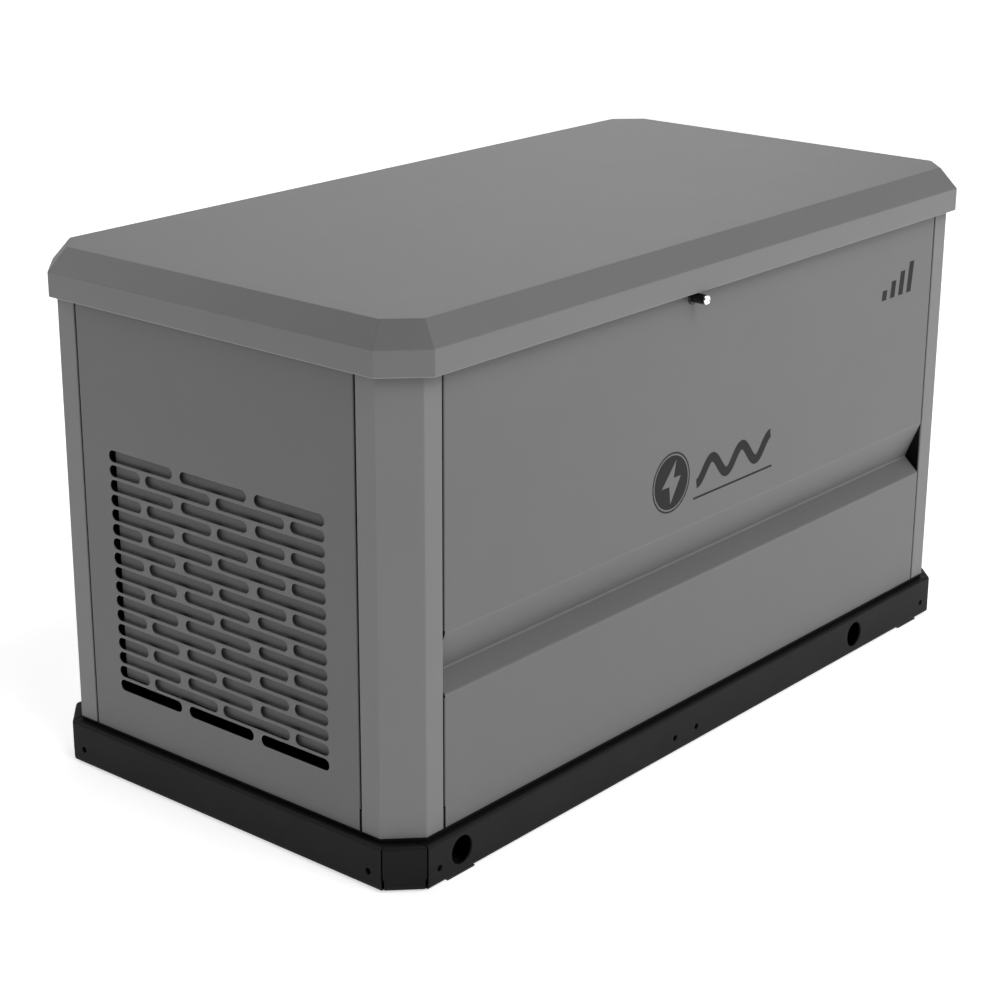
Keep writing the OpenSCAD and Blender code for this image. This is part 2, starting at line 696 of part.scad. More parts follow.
// A cross tube between flanges on the heads' inner faces, with a riser for the mixer
module intake_manifold() color("#94979a") difference() {
    union() {
        bar_y(16, shaft_y - intake_reach - 16, shaft_y + intake_reach + 16, intake_x, intake_z);
        bar_z(20, intake_z, mixer_z, intake_x, shaft_y);
        for (k = [0, 1]) bank(k) translate([intake_x - bank_x[k], 0, port_s]) mirror([0, bank_side[k] + 1, 0])
            block([-30, head_half_w, -20], [30, head_half_w + 8, 20]);
    }
    for (k = [0, 1]) bank(k) block([-80, -head_half_w, port_s - 60], [80, head_half_w, port_s + 60]);
}

module fuel_mixer() color("#8f9295") difference() {
    union() {
        bar_z(26, mixer_z, filter_z, intake_x, shaft_y);
        block([intake_x - 31, shaft_y - 31, mixer_z], [intake_x + 31, shaft_y + 31, mixer_z + 4]);
        bar_x(9, intake_x - 36, intake_x - 4, shaft_y, throttle_z);
        bar_y(11, shaft_y + 6, shaft_y + 48, intake_x, mixer_z + 32);
    }
    bar_x(4 + running_gap, intake_x - 37, intake_x - 11, shaft_y, throttle_z);
}

// The lever on the throttle's shaft
module throttle_lever() color("#c9b26a") {
    bar_x(4, intake_x - 44, intake_x - 12, shaft_y, throttle_z);
    difference() {
        union() {
            bar_x(8, intake_x - 40, intake_x - 37, shaft_y, throttle_z);
            block([intake_x - 40, shaft_y - 4.5, throttle_z],
                [intake_x - 37, shaft_y + 4.5, throttle_z + throttle_arm]);
            bar_x(4.5, intake_x - 40, intake_x - 37, shaft_y, throttle_z + throttle_arm);
        }
        bar_x(1.8, intake_x - 41, intake_x - 36, shaft_y, throttle_z + throttle_arm);
    }
}

// The air filter's housing and its cover, with a snorkel towards the intake end
module air_filter_box() color("#242526") {
    difference() {
        block([-105, shaft_y - 72, filter_z], [62, shaft_y + 72, filter_z + 92]);
        block([-101, shaft_y - 68, filter_z + 4], [58, shaft_y + 68, filter_z + 86]);
    }
    block([-109, shaft_y - 76, filter_z + 92], [66, shaft_y + 76, filter_z + 108]);
    bar_x(26, -165, -104, shaft_y, filter_z + 50);
}

// The cooling fan's housing with its round inlet
module fan_shroud() color("#1e1f20") difference() {
    union() {
        bar_x(shroud_r, shroud_x[0], shroud_x[1], shaft_y, shaft_z);
        block([shroud_x[0], shaft_y - 120, shaft_z], [shroud_x[1] - 25, shaft_y + 120, shaft_z + 165]);
    }
    bar_x(shroud_r - 4, shroud_x[0] + 4, shroud_x[1] - 4, shaft_y, shaft_z);
    block([shroud_x[0] + 4, shaft_y - 116, shaft_z], [shroud_x[1] - 29, shaft_y + 116, shaft_z + 161]);
    bar_x(96, shroud_x[1] - 5, shroud_x[1] + 1, shaft_y, shaft_z);
    bar_x(40, shroud_x[0] - 1, shroud_x[0] + 5, shaft_y, shaft_z);
}

module oil_filter() color("#e8e8e8") {
    bar_y(38, shaft_y - 195, shaft_y - 117, -105, 180);
    bar_y(30, shaft_y - 118, shaft_y - 110, -105, 180);
}

module oil_dipstick() color("#d9a520") {
    bar_z(2.5, 264, dipstick_top + 4, dipstick_x, dipstick_y);
    bar_z(11, dipstick_top + 0.5, dipstick_top + 16, dipstick_x, dipstick_y);
}

module starter_motor() color("#232425") {
    bar_x(35, -40, 78, shaft_y - 146, 182);
    bar_x(26, 78, 104, shaft_y - 146, 182);
    bar_x(18, -30, 60, shaft_y - 146, 232);
    block([66, shaft_y - 150, 168], [76, shaft_y - 110, 200]);
}

// Header pipes from the heads' right faces through the bulkhead, with an elbow down to the muffler
module exhaust_pipes() color("#7d6a58") for (k = [0, 1]) {
    bend = 45;
    y = shaft_y + bank_side[k] * port_offset;
    z = shaft_z + port_offset;
    bar_x(pipe_r, bank_x[k] + head_half_x, muffler_x - bend, y, z);
    bar_x(pipe_r + 1, muffler_x - bend - 2, muffler_x - bend + 2, y, z);
    bar_z(pipe_r + 1, z - bend - 2, z - bend + 2, muffler_x, y);
    bar_x(pipe_r + 8, bank_x[k] + head_half_x, bank_x[k] + head_half_x + 7, y, z);
    translate([muffler_x - bend, y, z - bend]) rotate([90, 0, 0])
        rotate_extrude(angle = 90) translate([bend, 0]) circle(r = pipe_r);
    bar_z(pipe_r, muffler_z + muffler_r - 1, z - bend, muffler_x, y);
}

// The muffler with rolled end seams, welded feet and a tail pipe towards the outlet panel
module muffler() color("#8a8076") difference() {
    union() {
        bar_y(muffler_r, -muffler_half, muffler_half + 20, muffler_x, muffler_z);
        for (y = [-muffler_half, muffler_half + 12]) bar_y(muffler_r + 4, y, y + 8, muffler_x, muffler_z);
        for (y = [-150, 150]) block([muffler_x - 60, y - 15, deck_top], [muffler_x + 60, y + 15, muffler_z - 40]);
        bar_x(22, muffler_x + 60, body_hx - sheet - 12, 0, muffler_z);
    }
    bar_y(muffler_r - 3, -muffler_half + 3, muffler_half + 17, muffler_x, muffler_z);
    bar_x(19, muffler_x + 60, body_hx, 0, muffler_z);
    for (s = bank_side) bar_z(pipe_r, muffler_z, muffler_z + muffler_r + 5, muffler_x, shaft_y + s * port_offset);
}

// ---- the turning train ----

module crankshaft() color("#b4b7ba") {
    bar_x(shaft_r, -160, -70, shaft_y, shaft_z);
    bar_x(shaft_r, 30, 176, shaft_y, shaft_z);
    for (x = [-75, -2, 32]) difference() {
        bar_x(62, x, x + 14, shaft_y, shaft_z);
        block([x - 1, shaft_y + 28, shaft_z - 70], [x + 15, shaft_y + 70, shaft_z + 70]);
    }
    bar_x(16, -62, 33, shaft_y - 30, shaft_z);
}

// A cast disc with blades on its outer face
module flywheel_fan() color("#8c8f92") difference() {
    union() {
        bar_x(fan_r - 6, 121, 137, shaft_y, shaft_z);
        bar_x(34, 137, 168, shaft_y, shaft_z);
        translate([136, shaft_y, shaft_z]) for (i = [0:fan_blades - 1]) rotate([i * 360 / fan_blades, 0, 0])
            block([0, 84, -2], [36, fan_r - 7, 2]);
    }
    bar_x(shaft_r, 120, 170, shaft_y, shaft_z);
}

module rotor() color("#8b5a33") {
    bar_x(rotor_r - air_gap, -392, -198, shaft_y, shaft_z);
    bar_x(shaft_r, -452, -160, shaft_y, shaft_z);
    bar_x(104, -190, -176, shaft_y, shaft_z);
}

// Ball bearings: two in the crankcase and one in the end bell
module shaft_bearings() color("#c0c3c6") for (x = [-150, 92, -450]) difference() {
    bar_x(30, x, x + 18, shaft_y, shaft_z);
    bar_x(shaft_r + running_gap, x - 1, x + 19, shaft_y, shaft_z);
}

module alternator_housing() color("#6d7073") difference() {
    union() {
        bar_x(alternator_r, alternator_x[0], alternator_x[1] + 15, shaft_y, shaft_z);
        for (s = [-1, 1]) for (x = [-400, -215])
            block([x, shaft_y + s * cradle_y - 15, cradle_top], [x + 30, shaft_y + s * cradle_y + 15, shaft_z - 60]);
    }
    bar_x(stator_r, alternator_x[0] - 1, alternator_x[1] + 5, shaft_y, shaft_z);
    bar_x(40, alternator_x[1] + 4, alternator_x[1] + 16, shaft_y, shaft_z);
    for (i = [0:7]) translate([alternator_x[1] - 24, shaft_y, shaft_z]) rotate([i * 45 + 22.5, 0, 0])
        block([0, 100, -18], [14, 130, 18]);
}

module stator_core() color("#5b4a3a") difference() {
    bar_x(stator_r, -390, -200, shaft_y, shaft_z);
    bar_x(rotor_r, -391, -199, shaft_y, shaft_z);
}

// The end bell: a hub on spokes, with the bearing's seat
module alternator_end_bell() color("#797c7f") difference() {
    bar_x(alternator_r, -458, alternator_x[0], shaft_y, shaft_z);
    bar_x(alternator_r - 8, -452, alternator_x[0] + 1, shaft_y, shaft_z);
    bar_x(30, -459, -450 + 18, shaft_y, shaft_z);
    for (i = [0:7]) translate([-459, shaft_y, shaft_z]) rotate([i * 45, 0, 0])
        block([0, 50, -14], [8, 98, 14]);
}

// ---- battery, controls and fuel ----

module battery() color("#202224") {
    block([-535, -270, deck_top], [-345, -100, deck_top + 195]);
    block([-539, -262, deck_top], [-341, -108, deck_top + 12]);
    for (x = [-505, -375]) bar_z(8, deck_top + 194, deck_top + 210, x, -235);
}

module control_box() color("#2d2f31") difference() {
    union() {
        block(box_low, box_high);
        block([toggle_x - 15, toggle_y - 30, box_high[2] - 1], [toggle_x + 15, toggle_y + 30, toggle_z - 2]);
    }
    block(box_low + [3, 3, 3], box_high - [3, 3, 3]);
    for (x = button_x) bar_z(button_r + 0.4, box_high[2] - 4, box_high[2] + 1, x, button_y);
    block([toggle_x - 5, toggle_y - 14, box_high[2] - 8], [toggle_x + 5, toggle_y + 14, toggle_z + 1]);
    block([196, -232, box_high[2] - 1.5], [272, -204, box_high[2] + 1]);
}

module mode_button(x) {
    bar_z(button_r, box_high[2] - 4, box_high[2] + 3, x, button_y);
    bar_z(button_r + 2, box_high[2] - 6, box_high[2] - 3.5, x, button_y);
}

module auto_button() color("#2f8f46") mode_button(button_x[0]);
module off_button() color("#b3312c") mode_button(button_x[1]);
module manual_button() color("#3f6fb0") mode_button(button_x[2]);

// The breaker's toggle, leaning to its off side
module breaker_toggle() color("#111111") translate([toggle_x, toggle_y, toggle_z - 8]) rotate([20, 0, 0]) {
    bar_x(4, -4.5, 4.5, 0, 0);
    block([-4, -2.5, 0], [4, 2.5, 22]);
}

// A disc-shaped demand regulator with its inlet pipe through the rear panel
module gas_regulator() color("#a3a69f") difference() {
    union() {
        bar_y(55, 205, 250, regulator_x, regulator_z);
        bar_y(62, 224, 230, regulator_x, regulator_z);
        bar_y(inlet_r + 6, 249, 320, regulator_x, regulator_z);
        bar_y(inlet_r + 10, 284, body_hy - sheet, regulator_x, regulator_z);
        block([regulator_x - 30, 210, deck_top], [regulator_x + 30, 245, regulator_z - 40]);
        bar_z(11, regulator_z + 40, regulator_z + 75, regulator_x, 216);
    }
    bar_y(inlet_r, 262, 321, regulator_x, regulator_z);
}

// ---- hoses and leads ----

// A smooth closed tube of radius r through the points, with 8 sides
module tube(route, r) {
    sides = 8;
    count = len(route);
    function heading(i) = unit(route[min(i + 1, count - 1)] - route[max(i - 1, 0)]);
    function across(d) = unit(cross(d, abs(d[2]) > 0.9 ? [1, 0, 0] : [0, 0, 1]));
    points = [for (i = [0:count - 1]) let(d = heading(i), a = across(d), b = cross(d, a))
        for (k = [0:sides - 1]) route[i] + r * (cos(k * 360 / sides) * a + sin(k * 360 / sides) * b)];
    walls = [for (i = [0:count - 2]) for (k = [0:sides - 1])
        [i * sides + k, i * sides + (k + 1) % sides, (i + 1) * sides + (k + 1) % sides, (i + 1) * sides + k]];
    polyhedron(points, concat([[for (k = [sides - 1:-1:0]) k]], walls,
        [[for (k = [0:sides - 1]) (count - 1) * sides + k]]));
}

// Points of a Catmull-Rom curve through hand-picked points, n to a span
function curve(p, n) = concat([for (i = [0:len(p) - 2]) for (s = [0:n - 1])
    let(t = s / n, a = p[max(i - 1, 0)], b = p[i], c = p[i + 1], d = p[min(i + 2, len(p) - 1)])
    0.5 * (2 * b + (c - a) * t + (2 * a - 5 * b + 4 * c - d) * t * t + (3 * b - a - 3 * c + d) * t * t * t)],
    [p[len(p) - 1]]);

fuel_route = [[-470, 216, 245.5], [-470, 216, 275], [-462, 215, 345], [-420, 210, 420], [-300, 200, 480],
    [-160, 170, 500], [-62, 136, 496], [-34, 112, 491.5], [-30, 94, 491], [-30, 78.4, 491]];
positive_route = [[-375, -235, 272], [-375, -235, 283], [-374, -235, 302], [-340, -235, 330], [-250, -225, 300],
    [-130, -200, 270], [-60, -170, 250], [-31, -150, 235]];
negative_route = [[-505, -235, 272], [-505, -235, 283], [-503, -232, 308], [-480, -180, 340], [-400, -130, 320],
    [-260, -112, 250], [-200, -108, 160], [-190, -100, 120], [-190, -86, 116]];

module hoses_and_leads() color("#171717") {
    tube(curve(fuel_route, 4), 9);
    tube(curve(positive_route, 4), 5);
    tube(curve(negative_route, 4), 5);
}

// ---- assembly ----

feet();
base_long_rails();
base_end_rails();
base_corner_plates();
deck_tray();
deck_bolts();
corner_posts();
top_frame();
front_panel();
rear_panel();
left_grille_panel();
right_grille_panel();
intake_baffle();
bulkhead();
top_seal();
hinge_base_leaves();
hinge_pins();
strut_mounts();
lock_barrel();
lid_shell();
lid_frame();
lid_liner();
lid_hinge_leaves();
lid_strut_brackets();
lock_keeper();
strut_tubes();
strut_rods();
lock_core();
engine_cradle();
engine_mounts();
crankcase();
cylinder_barrels();
cylinder_heads();
rocker_covers();
spark_plugs();
intake_manifold();
fuel_mixer();
throttle_lever();
air_filter_box();
fan_shroud();
oil_filter();
oil_dipstick();
starter_motor();
exhaust_pipes();
muffler();
crankshaft();
flywheel_fan();
rotor();
shaft_bearings();
alternator_housing();
stator_core();
alternator_end_bell();
battery();
control_box();
auto_button();
off_button();
manual_button();
breaker_toggle();
gas_regulator();
hoses_and_leads();
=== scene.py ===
"""Home standby generator: the look of its painted enclosure, its folded base and its machinery.

Sizes are in metres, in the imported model's frame: X runs along the enclosure with the intake grille
at -X, the lock faces -Y, and Z is up from the ground.
"""

import logging
import math
from dataclasses import dataclass, field, replace
from enum import Enum
from functools import partial
from typing import Callable, Iterable, Sequence

import bmesh
import bpy
import numpy as np
from mathutils import Matrix, Vector
from mathutils.geometry import delaunay_2d_cdt


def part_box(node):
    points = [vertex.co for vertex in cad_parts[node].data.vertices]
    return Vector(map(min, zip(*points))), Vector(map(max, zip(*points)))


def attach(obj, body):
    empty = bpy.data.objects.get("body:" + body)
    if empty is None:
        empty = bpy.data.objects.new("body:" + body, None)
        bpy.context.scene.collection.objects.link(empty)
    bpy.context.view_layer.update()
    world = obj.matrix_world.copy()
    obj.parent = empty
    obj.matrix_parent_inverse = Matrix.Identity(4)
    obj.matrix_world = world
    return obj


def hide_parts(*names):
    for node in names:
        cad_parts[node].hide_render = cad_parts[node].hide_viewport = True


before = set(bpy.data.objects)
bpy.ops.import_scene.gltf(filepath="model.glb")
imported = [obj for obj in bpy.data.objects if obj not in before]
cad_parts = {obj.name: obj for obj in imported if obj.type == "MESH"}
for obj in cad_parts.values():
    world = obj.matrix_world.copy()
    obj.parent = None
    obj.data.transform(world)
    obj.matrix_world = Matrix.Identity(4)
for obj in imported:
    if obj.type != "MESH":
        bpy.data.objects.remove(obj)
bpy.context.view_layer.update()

Array = np.ndarray
log = logging.getLogger("generator")
MM = 0.001
FIXED = "enclosure"


def mm(*sizes: object) -> Array:
    """Sizes given in millimetres, as an array in metres."""
    return np.array(sizes, float) * MM


# ---------------------------------------------------------------- shapes worked out as arrays

def unit(vectors: Array) -> Array:
    """The same vectors with length 1."""
    return vectors / np.linalg.norm(vectors, axis=-1, keepdims=True)


def corner_arcs(before: Array, corner: Array, after: Array, radius: Array, steps: int) -> Array:
    """Arcs that round corners off.

    Formula: the arc starts where a circle of that radius touches the first side, radius over the
    tangent of half the corner's angle away from it, and its points turn evenly about the centre.

    Args:
        before, corner, after: the corners and their neighbours, shape (..., n, 2 or 3).
        radius: one radius, or an array that fits the leading axes.
        steps: the number of chords in an arc.

    Returns:
        The arcs' points, shape (..., n, steps + 1, 2 or 3).
    """
    to_before, to_after = before - corner, after - corner
    u, v = unit(to_before), unit(to_after)
    half = np.arccos(np.clip((u * v).sum(-1), -0.999999, 0.999999)) / 2
    room = 0.49 * np.minimum(np.linalg.norm(to_before, axis=-1), np.linalg.norm(to_after, axis=-1))
    reach = np.minimum(np.broadcast_to(radius, half.shape) / np.tan(half), room)
    centre = corner + unit(u + v) * (reach / np.cos(half))[..., None]
    start, end = corner + u * reach[..., None] - centre, corner + v * reach[..., None] - centre
    turn = (np.pi - 2 * half)[..., None]
    t = np.linspace(0, 1, steps + 1)
    first, second = np.sin((1 - t) * turn) / np.sin(turn), np.sin(t * turn) / np.sin(turn)
    arc = first[..., None] * start[..., None, :] + second[..., None] * end[..., None, :]
    return centre[..., None, :] + arc


def round_loop(corners: Array, radius: float | Array, steps: int = 4) -> Array:
    """A closed outline, or a stack of them, with every corner turned into an arc."""
    arcs = corner_arcs(np.roll(corners, 1, -2), corners, np.roll(corners, -1, -2), radius, steps)
    return arcs.reshape(*corners.shape[:-2], -1, corners.shape[-1])


def round_path(points: Sequence[Sequence[float]], radius: float | Sequence[float],
               steps: int = 5) -> Array:
    """An open path with its inner corners turned into arcs, and a point just before and after each.

    The extra points hold the shading of the flats next to a bend. Radius is one for all corners or
    one for each.
    """
    p = np.asarray(points, float)
    arcs = corner_arcs(p[:-2], p[1:-1], p[2:], np.asarray(radius, float), steps)
    hold = 0.3 * np.broadcast_to(np.asarray(radius, float), (len(p) - 2,))[:, None, None]
    ahead = arcs[:, :1] + unit(p[:-2] - p[1:-1])[:, None] * hold
    behind = arcs[:, -1:] + unit(p[2:] - p[1:-1])[:, None] * hold
    inner = np.concatenate([ahead, arcs, behind], 1).reshape(-1, p.shape[1])
    return np.concatenate([p[:1], inner, p[-1:]])


def octagon(half_x: float, half_y: float, leg: float, inset: Array = 0.0,
            leg_rate: float = 2 - math.sqrt(2)) -> Array:
    """A rectangle with cut corners, moved inwards.

    Formula: each side moves in by the inset, and the cut's leg shrinks by leg_rate times it.

    Returns:
        Corners of shape (..., 8, 2), anticlockwise, where ... is the shape of inset.
    """
    d = np.asarray(inset, float)
    x, y, c = half_x - d, half_y - d, leg - leg_rate * d
    return np.stack([np.stack(p, -1) for p in (
        (-x + c, -y), (x - c, -y), (x, -y + c), (x, y - c),
        (x - c, y), (-x + c, y), (-x, y - c), (-x, -y + c))], -2)


def rectangle(low: Sequence[float], high: Sequence[float], inset: Array = 0.0) -> Array:
    """A rectangle's corners, anticlockwise, each side moved inwards by the inset."""
    d = np.asarray(inset, float)
    x0, y0, x1, y1 = low[0] + d, low[1] + d, high[0] - d, high[1] - d
    return np.stack([np.stack(p, -1) for p in ((x0, y0), (x1, y0), (x1, y1), (x0, y1))], -2)


def grid_faces(rows: int, columns: int, wrap_rows: bool, wrap_columns: bool) -> Array:
    """The quads of a grid of points, as indices into its flattened points."""
    index = np.arange(rows * columns).reshape(rows, columns)
    if wrap_rows:
        index = np.concatenate([index, index[:1]])
    if wrap_columns:
        index = np.concatenate([index, index[:, :1]], 1)
    quads = np.stack([index[:-1, :-1], index[:-1, 1:], index[1:, 1:], index[1:, :-1]], -1)
    return quads.reshape(-1, 4)


class Solid:
    """Gathers the surfaces of one piece and makes them a closed mesh."""

    def __init__(self) -> None:
        """Starts empty."""
        self.points: list[Array] = []
        self.wear_and_highlight: list[Array] = []
        self.faces: list[list[int]] = []
        self.count = 0

    def add(self, points: Array, faces: Iterable[Sequence[int]], wear_and_highlight: Array | float = 0.0) -> None:
        """Adds points of shape (n, 3) and faces that count from the first of them."""
        flat = np.asarray(points, float).reshape(-1, 3)
        self.points.append(flat)
        self.wear_and_highlight.append(np.broadcast_to(np.asarray(wear_and_highlight, float).reshape(-1), len(flat)))
        self.faces += (np.asarray(faces) + self.count).tolist() if len(faces) else []
        self.count += len(flat)

    def join(self, other: "Solid") -> None:
        """Adds another solid's surfaces."""
        start = self.count
        self.add(np.concatenate(other.points), [], np.concatenate(other.wear_and_highlight))
        self.faces += [[i + start for i in face] for face in other.faces]

    def grid(self, points: Array, wrap_rows: bool = False, wrap_columns: bool = False,
             caps: bool = False, wear_and_highlight: Array | float = 0.0) -> "Solid":
        """Adds a surface on a grid of points, shape (rows, columns, 3).

        Args:
            points: the grid.
            wrap_rows: the last row joins the first.
            wrap_columns: the last column joins the first.
            caps: the first and the last row are closed with one flat face each.
            wear_and_highlight: how much each point's paint is rubbed and lightened as painted
                highlight, 0 to 1.

        Returns:
            This solid, so that calls can be chained.
        """
        rows, columns = points.shape[:2]
        start = self.count
        self.add(points, grid_faces(rows, columns, wrap_rows, wrap_columns), np.asarray(wear_and_highlight))
        if caps:
            self.faces.append(list(range(start, start + columns)))
            self.faces.append(list(range(start + (rows - 1) * columns, start + rows * columns)))
        return self

    def mesh(self, name: str, smooth_below: float = 32.0) -> bpy.types.Mesh:
        """Welds the surfaces together, turns the faces outwards and sets the shading.

        Args:
            name: the mesh's name.
            smooth_below: edges that turn by more degrees than this stay sharp.

        Returns:
            The mesh.
        """
        mesh = bpy.data.meshes.new(name)
        mesh.from_pydata(np.concatenate(self.points), [], self.faces)
        # Each point's rubbed paint and painted highlight, which the finish reads to lighten its
        # colour.
        attribute = mesh.attributes.new("wear_and_highlight", "FLOAT", "POINT")
        attribute.data.foreach_set("value", np.concatenate(self.wear_and_highlight).astype(np.float32))
        work = bmesh.new()
        work.from_mesh(mesh)
        bmesh.ops.remove_doubles(work, verts=work.verts, dist=0.002 * MM)
        bmesh.ops.dissolve_degenerate(work, dist=0.0005 * MM, edges=work.edges)
        bmesh.ops.recalc_face_normals(work, faces=work.faces)
        work.to_mesh(mesh)
        work.free()
        mesh.shade_smooth()
        mesh.set_sharp_from_angle(angle=math.radians(smooth_below))
        return mesh


def loft(outline: Callable[[Array], Array], rows: Array, radius: float | Array = 0.0,
         steps: int = 4, closed: bool = False, wear_and_highlight: Array | float = 0.0) -> Solid:
    """A profile carried round an outline.

    Formula: row i is the outline moved inwards by the profile's inset i and lifted to its height i.

    Args:
        outline: gives the corners for an array of insets, shape (m, n, 2).
        rows: the profile, shape (m, 2): inset and height.
        radius: of the outline's corners, one for all rows or one a row.
        steps: chords in each corner's arc.
        closed: the profile is a loop, as for a seal. If not, both ends are capped.
        wear_and_highlight: how much each row's paint is rubbed and lightened as painted highlight.

    Returns:
        The solid.
    """
    rows = np.asarray(rows, float)
    corners = outline(rows[:, 0])
    each = np.broadcast_to(np.asarray(radius, float), (len(rows),))[:, None]
    ring = round_loop(corners, np.maximum(each, 0.05 * MM), steps)
    height = np.broadcast_to(rows[:, None, 1:], (*ring.shape[:2], 1))
    share = np.broadcast_to(np.asarray(wear_and_highlight, float).reshape(-1, 1), ring.shape[:2])
    return Solid().grid(np.concatenate([ring, height], -1), closed, True, not closed, share)


def lathe(profile: Sequence[Sequence[float]], centre: Sequence[float], axis: str = "z",
          radius: float = 0.0, sides: int = 48, into: Solid | None = None) -> Solid:
    """A profile turned round an axis.

    Formula: a profile point (r, h) becomes a circle of radius r at the distance h along the axis.

    Args:
        profile: points (r, h) from one end to the other; an end with r = 0 closes at a pole.
        centre: where h is 0.
        axis: "x", "y" or "z".
        radius: of the arcs that round the profile's inner corners, none if 0.
        sides: points in a circle.
        into: a solid to add to.

    Returns:
        The solid.
    """
    p = round_path(profile, radius, 3) if radius else np.asarray(profile, float)
    angle = np.linspace(0, 2 * np.pi, sides, endpoint=False)
    r, h = p[:, :1], np.broadcast_to(p[:, 1:], (len(p), sides))
    turned = np.stack([r * np.cos(angle), r * np.sin(angle), h], -1)
    order = {"x": (2, 0, 1), "y": (1, 2, 0), "z": (0, 1, 2)}[axis]
    ends_open = p[0, 0] > 0 or p[-1, 0] > 0
    return (into or Solid()).grid(turned[..., order] + np.asarray(centre), False, True, ends_open)


def block(low: Sequence[float], high: Sequence[float], radius: float = 2 * MM, edge: float = 1 * MM,
          into: Solid | None = None) -> Solid:
    """An upright box with rounded corners and chamfered rims at its top and bottom."""
    rows = [(edge, low[2]), (0, low[2] + edge), (0, high[2] - edge), (edge, high[2])]
    made = loft(partial(rectangle, low, high), rows, radius)
    if into is None:
        return made
    into.join(made)
    return into


def tube(line: Array, radius: float | Array, sides: int = 16, into: Solid | None = None) -> Solid:
    """A round tube along a line of points.

    Formula: each ring stands across the line's direction, turned from one fixed skew direction.

    Args:
        line: the centre line, shape (n, 3).
        radius: one radius, or one for each point.
        sides: points in a ring.
        into: a solid to add to.

    Returns:
        The solid, its ends capped.
    """
    heading = unit(np.gradient(line, axis=0))
    across = unit(np.cross(heading, np.array([0.31, -0.87, 0.38])))
    up = np.cross(heading, across)
    angle = np.linspace(0, 2 * np.pi, sides, endpoint=False)[None, :, None]
    r = np.broadcast_to(np.asarray(radius, float), (len(line),))[:, None, None]
    ring = line[:, None] + r * (np.cos(angle) * across[:, None] + np.sin(angle) * up[:, None])
    return (into or Solid()).grid(ring, False, True, True)


def smooth_line(points: Sequence[Sequence[float]], spans: int = 10) -> Array:
    """A Catmull-Rom curve through given points.

    Formula: between points b and c the curve is the cubic whose slopes at them are half the
    differences of their neighbours.
    """
    p = np.asarray(points, float)
    a, b, c, d = np.concatenate([p[:1], p[:-2]]), p[:-1], p[1:], np.concatenate([p[2:], p[-1:]])
    t = np.linspace(0, 1, spans, endpoint=False)[None, :, None]
    a, b, c, d = a[:, None], b[:, None], c[:, None], d[:, None]
    line = 0.5 * (2 * b + (c - a) * t + (2 * a - 5 * b + 4 * c - d) * t ** 2
                  + (3 * b - a - 3 * c + d) * t ** 3)
    return np.concatenate([line.reshape(-1, 3), p[-1:]])


# ---------------------------------------------------------------- folded sheet metal

class Track:
    """The path that a blank's points follow in one direction when it is folded."""

    def __init__(self, points: Array, start: float = 0.0) -> None:
        """Measures the path.

        Args:
            points: the path, shape (n, 2): along the sheet's own direction, and inwards.
            start: the blank's coordinate at the path's first point.
        """
        self.points = np.asarray(points, float)
        step = np.diff(self.points, axis=0)
        self.length = start + np.concatenate([[0], np.cumsum(np.linalg.norm(step, axis=1))])
        normal = unit(np.stack([-step[:, 1], step[:, 0]], -1))
        before, after = np.concatenate([normal[:1], normal]), np.concatenate([normal, normal[-1:]])
        self.normal = (before + after) / (1 + (before * after).sum(-1))[:, None]
        turn = np.linalg.norm(np.diff(normal, axis=0), axis=1) > 0.02
        self.bent = np.concatenate([[0], turn * 1.0, [0]])

    @property
    def low(self) -> float:
        """The blank's coordinate where the path starts."""
        return float(self.length[0])

    @property
    def high(self) -> float:
        """The blank's coordinate where the path ends."""
        return float(self.length[-1])

    def at(self, s: Array) -> tuple[Array, Array, Array]:
        """Positions, inward normals and how bent the sheet is, at the blank's coordinates."""
        pick = lambda values: np.interp(s, self.length, values)
        place = np.stack([pick(self.points[:, 0]), pick(self.points[:, 1])], -1)
        normal = np.stack([pick(self.normal[:, 0]), pick(self.normal[:, 1])], -1)
        return place, normal, pick(self.bent)


def straight(low: float, high: float) -> Track:
    """A track with no fold."""
    return Track(np.array([[low, 0.0], [high, 0.0]]), low)


@dataclass(frozen=True)
class Hole:
    """A hole in a blank: round, or long with round ends when half_length is more than 0."""

    u: float
    v: float
    radius: float
    half_length: float = 0.0

    def outline(self, grow: float, steps: int = 12) -> Array:
        """The hole's edge, made larger by grow."""
        t = np.linspace(-np.pi / 2, np.pi / 2, steps + 1)
        r = self.radius + grow
        right = np.stack([self.half_length + r * np.cos(t), r * np.sin(t)], -1)
        left = -right if self.half_length else -right[1:-1]
        return np.concatenate([right, left]) + (self.u, self.v)

    def covers(self, points: Array) -> Array:
        """Which points lie in the hole."""
        along = np.clip(points[:, 0] - self.u, -self.half_length, self.half_length)
        return np.hypot(points[:, 0] - self.u - along, points[:, 1] - self.v) < self.radius


def inside(outline: Array, points: Array) -> Array:
    """Which points lie in a closed outline, by the even-odd rule."""
    a, b = outline[None], np.roll(outline, -1, 0)[None]
    p = points[:, None]
    straddles = (a[..., 1] > p[..., 1]) != (b[..., 1] > p[..., 1])
    rise = np.where(b[..., 1] == a[..., 1], 1.0, b[..., 1] - a[..., 1])
    crossing = a[..., 0] + (p[..., 1] - a[..., 1]) * (b[..., 0] - a[..., 0]) / rise
    return (straddles & (p[..., 0] < crossing)).sum(1) % 2 == 1


